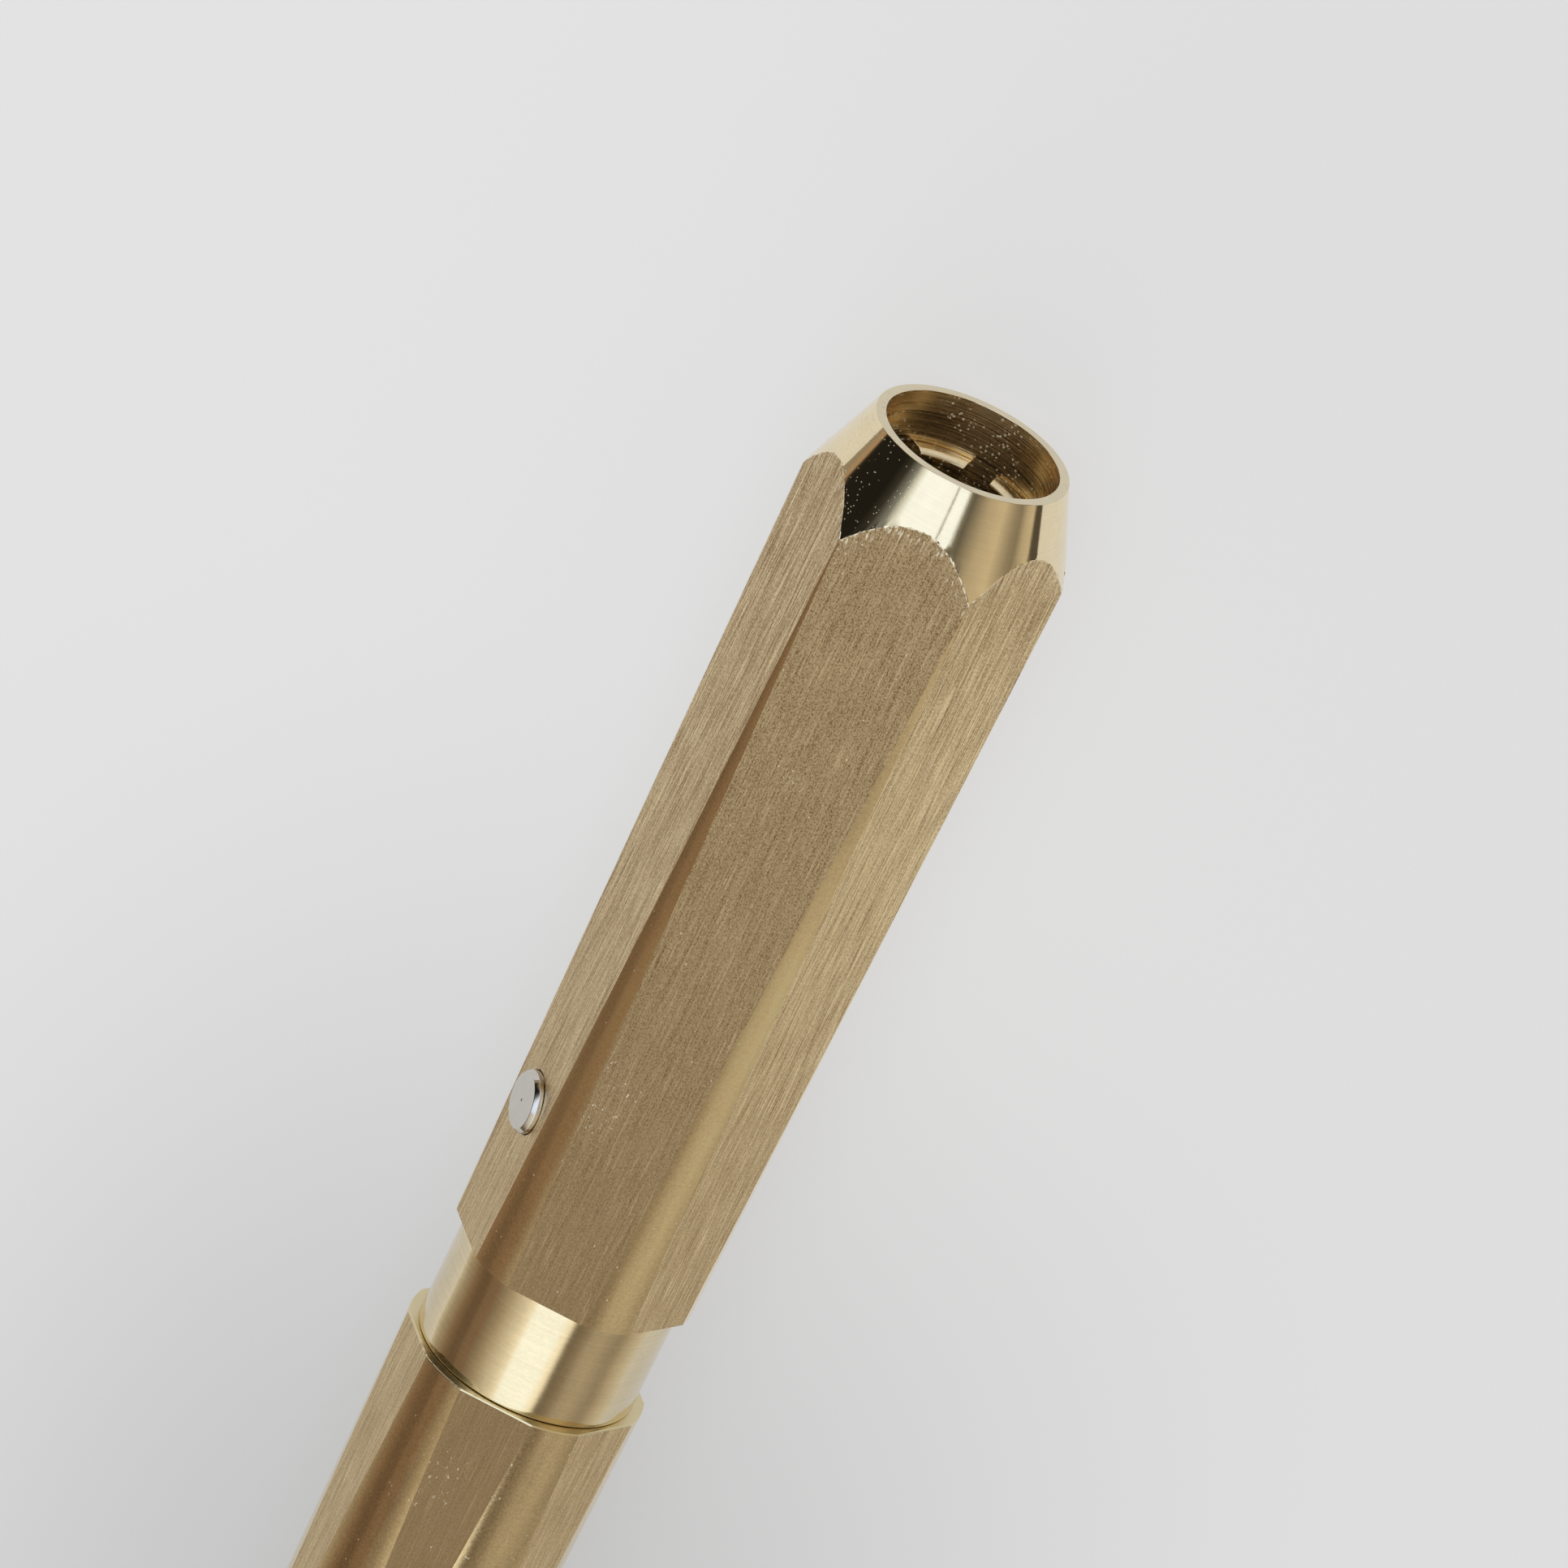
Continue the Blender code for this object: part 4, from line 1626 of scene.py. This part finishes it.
@dataclass
class ReturnSpring:
    """Spring round the rod that draws the collet back, with its end turns wound close."""

    lathe: Lathe
    front: float = 45.95
    length: float = 11.0
    radius: float = 2.60
    wire: float = 0.50
    turns: int = 8
    end_pitch: float = 0.62
    travel: float = 1.7
    turn_steps: int = 40
    wire_steps: int = 14
    sharp_degrees: float = 60.0

    def skin(self) -> Skin:
        """Work out the wire's surface.

        The wire's middle climbs by the end pitch in the first and the last turn and
        evenly between them. The points of its round section lie half a wire from the
        middle, square to the wire: outwards by the cosine, and by the sine along the
        tool and aside in the ratio of the radius to the climb.

        Returns:
            The closed surface.
        """
        half = self.wire / 2.0
        climb = self.length - self.wire
        turn = np.linspace(0.0, self.turns, self.turns * self.turn_steps + 1)
        heights = [0.0, self.end_pitch, climb - self.end_pitch, climb]
        height = np.interp(turn, [0.0, 1.0, self.turns - 1.0, self.turns], heights)
        angle = 2.0 * math.pi * turn
        slope = np.gradient(height, angle)
        run = np.hypot(self.radius, slope)
        section = np.arange(self.wire_steps)[None, :] * (2.0 * math.pi / self.wire_steps)
        outward = self.radius + half * np.cos(section)
        aside = half * np.sin(section) * (slope / run)[:, None]
        along = half * np.sin(section) * (self.radius / run)[:, None]
        station = (self.front + half + height)[:, None] - along
        around = angle[:, None] + np.arctan2(aside, outward)
        points = self.lathe.points(station, np.hypot(outward, aside), around)
        return Skin(points, np.zeros(points.shape[:2], dtype=int), ring=False)

    def build(self, finish: bpy.types.Material) -> bpy.types.Object:
        """Wind the spring, dress it and give it a mesh of its own.

        Args:
            finish: the wire's finish.

        Returns:
            The piece.
        """
        mesh = join_skins("return_spring_skin", [self.skin()], self.sharp_degrees)
        piece = add_piece(mesh, [finish], "barrel", "return_spring")
        seat = self.lathe.points(self.front, 0.0, 0.0)
        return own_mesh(piece)


@dataclass
class HiddenWorks:
    """Steel rod, washer and nut inside the barrels, kept as their CAD solids."""

    nodes: tuple[str, ...] = ("draw_rod", "spring_washer", "spring_nut")

    def dress(self, finish: bpy.types.Material) -> None:
        """Give each solid its finish.

        Args:
            finish: the steel's finish.
        """
        for name in self.nodes:
            materials = frame["nodes"][name].data.materials
            materials.clear()
            materials.append(finish)
            LOG.info("%s: CAD solid, dressed", name)


class Tint(Enum):
    """Colours of the soft boxes, walls and screens round the tool."""

    COOL = (0.73, 0.82, 1.00)
    WHITE = (0.86, 0.93, 1.00)
    PAPER = (1.00, 0.95, 0.82)
    CREAM = (1.00, 0.87, 0.67)
    TAN = (1.00, 0.82, 0.60)
    AMBER = (1.00, 0.68, 0.44)


@dataclass(frozen=True)
class Panel:
    """A place in the room, by its angle about the tool's axis, and how bright it is."""

    degrees: float
    level: float
    tint: Tint

    def stop(self) -> tuple[float, Colour]:
        """Return the panel's stop on a ramp that runs once round the tool."""
        return self.degrees / 360.0 + 0.5, tuple(self.level * part for part in self.tint.value)


AHEAD = (
    Panel(-102.0, 0.09, Tint.CREAM),
    Panel(-99.5, 0.60, Tint.CREAM),
    Panel(-91.0, 0.49, Tint.CREAM),
    Panel(-84.0, 0.25, Tint.CREAM),
    Panel(-77.0, 0.31, Tint.CREAM),
    Panel(-63.0, 0.61, Tint.CREAM),
    Panel(-47.0, 0.48, Tint.CREAM),
    Panel(-29.0, 0.12, Tint.PAPER),
    Panel(-25.0, 0.22, Tint.PAPER),
    Panel(-21.0, 1.46, Tint.COOL),
    Panel(-11.3, 1.46, Tint.COOL),
    Panel(-9.8, 0.22, Tint.PAPER),
    Panel(-8.3, 1.46, Tint.COOL),
    Panel(27.0, 1.46, Tint.COOL),
    Panel(33.0, 0.77, Tint.WHITE),
    Panel(38.0, 0.26, Tint.WHITE),
    Panel(47.0, 0.04, Tint.PAPER),
    Panel(56.0, 0.014, Tint.PAPER),
    Panel(92.5, 0.016, Tint.PAPER),
    Panel(94.5, 0.44, Tint.AMBER),
    Panel(102.0, 0.30, Tint.CREAM),
)
BEHIND = (
    Panel(-109.0, 0.66, Tint.PAPER),
    Panel(-93.0, 0.48, Tint.CREAM),
    Panel(-86.0, 0.36, Tint.CREAM),
    Panel(-81.0, 0.335, Tint.CREAM),
    Panel(-63.0, 0.47, Tint.CREAM),
    Panel(-53.0, 0.43, Tint.CREAM),
    Panel(-45.0, 0.29, Tint.TAN),
    Panel(-37.0, 0.21, Tint.TAN),
    Panel(-33.0, 0.25, Tint.TAN),
    Panel(-31.0, 0.65, Tint.PAPER),
    Panel(-28.0, 1.15, Tint.PAPER),
    Panel(-20.0, 1.42, Tint.WHITE),
    Panel(8.0, 1.42, Tint.WHITE),
    Panel(13.0, 1.04, Tint.PAPER),
    Panel(19.0, 0.81, Tint.PAPER),
    Panel(34.0, 0.49, Tint.CREAM),
    Panel(41.0, 0.37, Tint.TAN),
    Panel(47.0, 0.28, Tint.TAN),
    Panel(53.0, 0.24, Tint.AMBER),
    Panel(63.0, 0.225, Tint.AMBER),
    Panel(65.0, 0.165, Tint.AMBER),
    Panel(73.0, 0.16, Tint.AMBER),
    Panel(83.0, 0.25, Tint.AMBER),
    Panel(91.0, 0.34, Tint.TAN),
    Panel(98.0, 0.43, Tint.CREAM),
    Panel(106.0, 0.66, Tint.PAPER),
)


@dataclass
class Studio:
    """Pale floor, soft light from all round and the camera. Its lengths are metres."""

    target: Triple = (0.0444, 0.0010, 0.0060)
    distance: float = 0.6790
    elevation: float = math.radians(63.8)
    azimuth: float = math.radians(-5.2)
    lean: float = math.radians(26.04)
    lens: float = 323.4
    sensor: float = 36.0
    clip: Span = (0.01, 10.0)
    floor_size: float = 3.0
    floor_drop: float = 0.00005
    floor_share: float = 0.78
    # Painted shadow beside the tool, and a painted fall-off to one side.
    floor_shade: float = 0.225
    floor_fall: float = 0.045
    floor_reach: Span = (-0.0275, 0.0390)
    shade_front: Span = (0.045, -0.012)
    shade_rear: Span = (-0.110, -0.060)
    shade_width: Span = (0.045, 0.004)
    fall_width: Span = (0.035, -0.010)
    pale: Colour = (0.828, 0.825, 0.815)
    far: Colour = (0.46, 0.36, 0.21)
    far_start: Span = (0.70, 0.82)
    ahead_start: Span = (-0.30, -0.08)

    def camera(self) -> None:
        """Place the camera on its line to the target and lean it.

        The tool's axis, seen in the picture, stands at the lean to the right of
        upright: up = cos(lean) axis − sin(lean) side, both square to the view.
        """
        target = Vector(self.target)
        level = math.cos(self.elevation)
        away = Vector(
            (level * math.cos(self.azimuth), level * math.sin(self.azimuth), math.sin(self.elevation))
        )
        forward = -away
        axis = Vector((1.0, 0.0, 0.0))
        axis = (axis - axis.dot(forward) * forward).normalized()
        side = forward.cross(axis)
        up = math.cos(self.lean) * axis - math.sin(self.lean) * side
        right = forward.cross(up)
        data = bpy.data.cameras.new("camera")
        data.lens = self.lens
        data.sensor_width = self.sensor
        data.sensor_fit = "AUTO"
        data.clip_start, data.clip_end = self.clip
        camera = bpy.data.objects.new("camera", data)
        place = target + self.distance * away
        turn = Matrix((right, up, away)).transposed()
        camera.matrix_world = Matrix.LocRotScale(place, turn.to_quaternion(), Vector((1.0, 1.0, 1.0)))
        bpy.context.scene.collection.objects.link(camera)
        bpy.context.scene.camera = camera

    def floor(self) -> None:
        """Lay the pale floor, which keeps a soft shadow of the tool.

        Its paint holds a painted shadow beside the tool and a painted fall-off to one side. Beyond
        its reach to either side, glossy rays pass through it to the room below.
        """
        half = self.floor_size / 2.0
        down = -self.floor_drop
        mesh = bpy.data.meshes.new("floor")
        corners = [(-half, -half, down), (half, -half, down), (half, half, down), (-half, half, down)]
        mesh.from_pydata(corners, [], [(0, 1, 2, 3)])
        floor = bpy.data.objects.new("floor", mesh)
        bpy.context.scene.collection.objects.link(floor)
        material, board = new_board("pale_floor")
        path = board.add("ShaderNodeLightPath", output="Is Camera Ray")
        glossy = Wire(board, path.socket.node.outputs["Is Glossy Ray"])
        seen = board.math("MAXIMUM", path, glossy) * self.floor_share
        along, across, _ = board.axes(board.place())
        # Painted shadow beside the tool, and a painted fall-off to one side.
        beside = board.rise(along, *self.shade_front) * board.rise(along, *self.shade_rear)
        shade = beside * board.rise(abs(across), *self.shade_width) * self.floor_shade
        tone = 1.0 - shade - board.rise(across, *self.fall_width) * self.floor_fall
        paint = board.shade(self.pale, tone)
        paper = board.add("ShaderNodeBsdfDiffuse", None, {"Color": paint})
        glow = board.add("ShaderNodeEmission", None, {"Color": paint, "Strength": 1.0})
        both = board.add("ShaderNodeMixShader", None, {0: seen, 1: paper, 2: glow})
        low, high = self.floor_reach
        beyond = board.math("LESS_THAN", across, low) + board.math("GREATER_THAN", across, high)
        clear = board.add("ShaderNodeBsdfTransparent")
        shown = board.add("ShaderNodeMixShader", None, {0: beyond * glossy, 1: both, 2: clear})
        board.add("ShaderNodeOutputMaterial", None, {"Surface": shown})
        mesh.materials.append(material)

    def light(self) -> None:
        """Light the scene from a room of soft boxes and dark screens round the tool.

        The room's brightness is a function of the angle about the tool's axis, one
        for the part in front of the tool and one for the part behind it. No part far
        in front is darker than the far colour.
        """
        world = bpy.data.worlds.new("studio")
        world.use_nodes = True
        bpy.context.scene.world = world
        board = Board(world.node_tree)
        x, y, z = board.axes(board.add("ShaderNodeTexCoord", output="Generated"))
        around = board.math("ARCTAN2", y, z) / (2.0 * math.pi) + 0.5
        ramps = [{"stops": [panel.stop() for panel in panels]} for panels in (BEHIND, AHEAD)]
        behind, ahead = (board.add("ShaderNodeValToRGB", ramp, {0: around}) for ramp in ramps)
        room = board.mix(board.rise(x, *self.ahead_start), behind, ahead)
        settings = {"data_type": "RGBA", "blend_type": "LIGHTEN"}
        inputs = {0: board.rise(x, *self.far_start), 6: room, 7: (*self.far, 1.0)}
        room = board.add("ShaderNodeMix", settings, inputs, 2)
        seen = board.add("ShaderNodeLightPath", output="Is Camera Ray")
        colour = board.mix(seen, room, self.pale)
        glow = board.add("ShaderNodeBackground", None, {"Color": colour, "Strength": 1.0})
        board.add("ShaderNodeOutputWorld", None, {"Surface": glow})

    def build(self) -> None:
        """Set up camera, floor, light and view."""
        self.camera()
        self.floor()
        self.light()
        bpy.context.scene.view_settings.view_transform = "Standard"


def tool_lathe() -> Lathe:
    """Find the tool's axis, from the mouth rim backwards.

    Returns:
        The axis, with the top flat at the angle zero.
    """
    low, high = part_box("nose_barrel")
    origin = np.array([high.x, 0.0, (low.z + high.z) / 2.0])
    return Lathe(origin, np.array([-1.0, 0.0, 0.0]), np.array([0.0, 0.0, 1.0]), np.array([0.0, 1.0, 0.0]))


def button_lathe(tool: Lathe) -> Lathe:
    """Find the button's axis, from the tool's axis outwards along its own joint.

    Args:
        tool: the tool's axis.

    Returns:
        The button's axis.
    """
    low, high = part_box("button")
    joint = next(item for item in frame["joints"] if item["name"] == "button_press")
    along = -np.array(joint["axis"], dtype=float)
    along = along / np.linalg.norm(along)
    zero = np.array([1.0, 0.0, 0.0])
    origin = np.array([(low.x + high.x) / 2.0, 0.0, tool.origin[2]])
    return Lathe(origin, along, zero, np.cross(along, zero))


def main() -> None:
    """Build every piece in order and report it."""
    logging.basicConfig(level=logging.INFO, format="%(message)s")
    tool = tool_lathe()
    press = button_lathe(tool)
    Studio().build()
    nose = NoseBarrel(tool)
    brass = brass_finishes(nose.edge())
    nose.build(brass, press)
    RearBarrel(tool).build(brass)
    Collar(tool).build()
    Collet(tool).build()
    PressButton(press).build()
    steel = SpringSteel().material()
    ReturnSpring(tool).build(steel)
    HiddenWorks().dress(steel)


if __name__ == "__main__":
    main()
